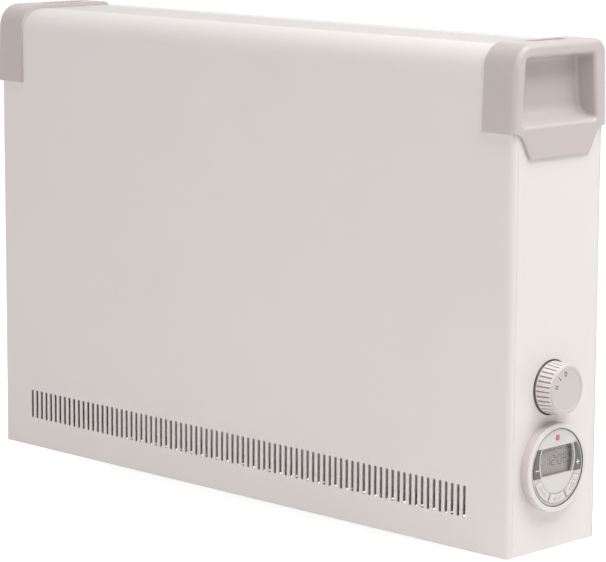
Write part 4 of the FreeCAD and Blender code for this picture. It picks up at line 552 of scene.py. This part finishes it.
def makeKeyPrint(spec, symbols):
    middle, reach = (spec["outer"] + spec["inner"]) / 2, (spec["outer"] - spec["inner"]) / 2
    turn = np.linspace(0, 2 * np.pi, spec["points"], endpoint=False)
    # a rounded rectangle as |x|^n + |y|^n = 1, wrapped round the dial
    square = [np.sign(wave) * np.abs(wave) ** (2 / spec["corner"]) for wave in (np.cos(turn), np.sin(turn))]
    for place, (button, symbol) in enumerate(symbols.items()):
        facing = np.radians(spec["facing"] + (place - 1) * spec["step"])

        def wrapped(radius, angle):
            return np.stack([radius * np.cos(angle), radius * np.sin(angle)], -1)

        edge = wrapped(middle + reach * square[1], facing - np.radians(spec["halfSpan"]) * square[0])
        patches = [stroke(edge[::-1], spec["outline"], controls["timerZ"], True)]
        for path, wrap in symbol:
            flat = wrapped(middle - path[:, 1], facing + path[:, 0] / middle)
            patches.append(stroke(flat, spec["symbol"], controls["timerZ"], wrap))
        addPiece(button.replace("button", "print"), patches, button, "inkGrey")


makeKeyPrint(keyPrint, keySymbols)
print("curved keys printed")

# plus and minus on the grey side keys
keySigns = {
    "across": 27.8, "height": 1.0, "arm": 1.9, "width": 1.0, "base": 8.9, "rise": 0.06, "sink": 0.05,
}


def makeKeySigns(spec):
    arm = spec["arm"]
    level, upright = line((-arm, 0), (arm, 0)), line((0, -arm), (0, arm))
    for sign, direction, bars in (("minus", -1, [level]), ("plus", 1, [level, upright])):
        spot = np.array([direction * spec["across"], spec["height"]])
        patches = [stroke(bar + spot, spec, controls["timerZ"]) for bar in bars]
        addPiece(sign + "_sign", patches, sign + "_button", "inkWhite")


makeKeySigns(keySigns)
print("side keys printed")

# seven-segment hour and a row of day bars on the display glass, behind the window
figures = {
    "hour": "1208", "pitch": 7.0, "wide": 4.2, "tall": 8.4, "slant": 0.06, "middle": (3.5, 6.0),
    "space": 0.5, "colon": 0.9, "dotRise": 1.7, "dotHalf": 0.15,
    "days": 7, "dayStep": 2.6, "dayLength": 1.1, "dayRow": (-15.5, 15.6),
    "width": 0.95, "base": 4.4, "rise": 0.08, "sink": 0.02,
}
segmentsOf = {
    "0": "abcdef", "1": "bc", "2": "abged", "3": "abgcd", "4": "fgbc",
    "5": "afgcd", "6": "afgedc", "7": "abc", "8": "abcdefg", "9": "abcdfg",
}


def makeFigures(spec):
    wide, tall, space = spec["wide"] / 2, spec["tall"] / 2, spec["space"]
    runs = {
        "a": ((-wide + space, tall), (wide - space, tall)),
        "b": ((wide, tall - space), (wide, space)),
        "c": ((wide, -space), (wide, -tall + space)),
        "d": ((wide - space, -tall), (-wide + space, -tall)),
        "e": ((-wide, -tall + space), (-wide, -space)),
        "f": ((-wide, space), (-wide, tall - space)),
        "g": ((-wide + space, 0), (wide - space, 0)),
    }
    order = np.arange(len(spec["hour"])) - (len(spec["hour"]) - 1) / 2
    places = order * spec["pitch"] + np.sign(order) * spec["colon"]
    patches = []
    for figure, place in zip(spec["hour"], places):
        for segment in segmentsOf[figure]:
            path = line(*runs[segment])
            slant = np.stack([spec["slant"] * path[:, 1], 0 * path[:, 1]], -1)
            flat = path + slant + spec["middle"] + np.array([place, 0])
            patches.append(stroke(flat, spec, controls["timerZ"]))
    half = (spec["dotHalf"], 0)
    for height in (-spec["dotRise"], spec["dotRise"]):
        dot = np.array([spec["slant"] * height, height]) + spec["middle"]
        patches.append(stroke(line(dot - half, dot + half), spec, controls["timerZ"]))
    for day in range(spec["days"]):
        start = np.array([day * spec["dayStep"], 0]) + spec["dayRow"]
        patches.append(stroke(line(start, start + (spec["dayLength"], 0)), spec, controls["timerZ"]))
    addPiece("display_figures", patches, "heater", "segmentGrey")


makeFigures(figures)
print("display set")


def turnedGrid(profile, axisZ, count):
    # S(u, v) = (r(v) cos u, r(v) sin u, z(v)) about the timer's axis
    turn = np.linspace(0, 2 * np.pi, count, endpoint=False)[:, None]
    radius, out = profile[None, :, 0], profile[None, :, 1]
    flat = np.stack([radius * np.cos(turn), radius * np.sin(turn)], -1)
    return onEnd(flat, np.broadcast_to(out, flat.shape[:2]), axisZ)


# dark ring between the bezel's rim and the face plate, its lip over the plate's edge; painted shade,
# standing in for the shadow in the gap there
shadeRing = {
    "inner": 34.52, "outer": 35.18, "lip": 34.42, "low": 5.65, "plate": 8.22, "high": 8.95,
    "soft": 0.12, "points": 144,
}


def makeShadeRing(spec):
    # the profile's corners as radius and height, turned about the timer's axis
    inner, outer, lip, soft = (spec[word] for word in ("inner", "outer", "lip", "soft"))
    low, plate, high = (spec[word] for word in ("low", "plate", "high"))
    profile = np.array([
        (inner, low), (outer, low), (outer, high - soft), (outer - soft, high),
        (lip + soft, high), (lip, high - soft), (lip, plate), (inner, plate),
    ])
    grid = turnedGrid(profile[::-1], controls["timerZ"], spec["points"])
    addPiece("timer_shade_ring", [(grid, True)], "heater", "ringShadeDark")


makeShadeRing(shadeRing)
print("gasket laid")

# pan heads with a cross recess, in place of the plain CAD screws; y points out of the back
screws = {
    "head": 3.8, "rise": 2.2, "shank": 1.8, "length": 9.0, "points": 64,
    # rings over the head from and to these shares of its radius, the dome's fall and its power
    "overFrom": 0.12, "overTo": 0.97, "rings": 22, "fall": 0.45, "power": 2.4,
    # rim and tip as shares of the radius, the rise and the length
    "rimOut": 0.995, "rimHigh": 0.45, "rimLow": 0.35, "tipOut": 0.5, "tipFrom": 0.9,
    # half width and reach of the cross, and how far each edge slopes
    "recess": 1.25, "slot": 0.55, "slotSlope": 0.25, "arm": 2.1, "armSlope": 0.5,
    # each screw stands turned, in radians
    "firstTwist": 0.7, "twistStep": 1.9,
    "groups": {
        "case_screws": {"y": -12.0, "x": 335.0, "z": (-316.9, -176.5, -36.1)},
        "handle_screws": {"y": -10.7, "x": 325.0, "z": (36.36, 65.68)},
    },
}


def makeScrews(spec):
    # r runs out over the head, h(r, a) = dome(r) - recess(r, a), then down the rim and the shank
    head, rise, shank, length = (spec[word] for word in ("head", "rise", "shank", "length"))
    over = np.linspace(spec["overFrom"], spec["overTo"], spec["rings"]) * head
    dome = rise * (1 - spec["fall"] * (over / head) ** spec["power"])
    below = np.array([
        (head * spec["rimOut"], rise * spec["rimHigh"]), (head, rise * spec["rimLow"]), (head, 0),
        (shank, 0), (shank, -length * spec["tipFrom"]), (shank * spec["tipOut"], -length),
    ])
    radius, height = np.concatenate([over, below[:, 0]]), np.concatenate([dome, below[:, 1]])
    turn = np.linspace(0, 2 * np.pi, spec["points"], endpoint=False)
    a, b = radius[:, None] * np.cos(turn), radius[:, None] * np.sin(turn)
    slotted = np.clip((spec["slot"] - np.minimum(np.abs(a), np.abs(b))) / spec["slotSlope"] + 1, 0, 1)
    ended = np.clip((spec["arm"] - radius) / spec["armSlope"], 0, 1)[:, None]
    lifted = height[:, None] - spec["recess"] * slotted * ended * (radius[:, None] <= over[-1])
    for name, group in spec["groups"].items():
        patches = []
        for place, (side, z) in enumerate((side, z) for side in (-1, 1) for z in group["z"]):
            twist = spec["firstTwist"] + spec["twistStep"] * place
            x = side * group["x"] + a * np.cos(twist) - b * np.sin(twist)
            up = z + a * np.sin(twist) + b * np.cos(twist)
            patches.append((np.stack([x, group["y"] + lifted, up], -1) / 1000, False))
        piece = addPiece(name.replace("screws", "pan_screws"), patches, "heater", "zinc")
        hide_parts(name)


makeScrews(screws)
print("screws cut")
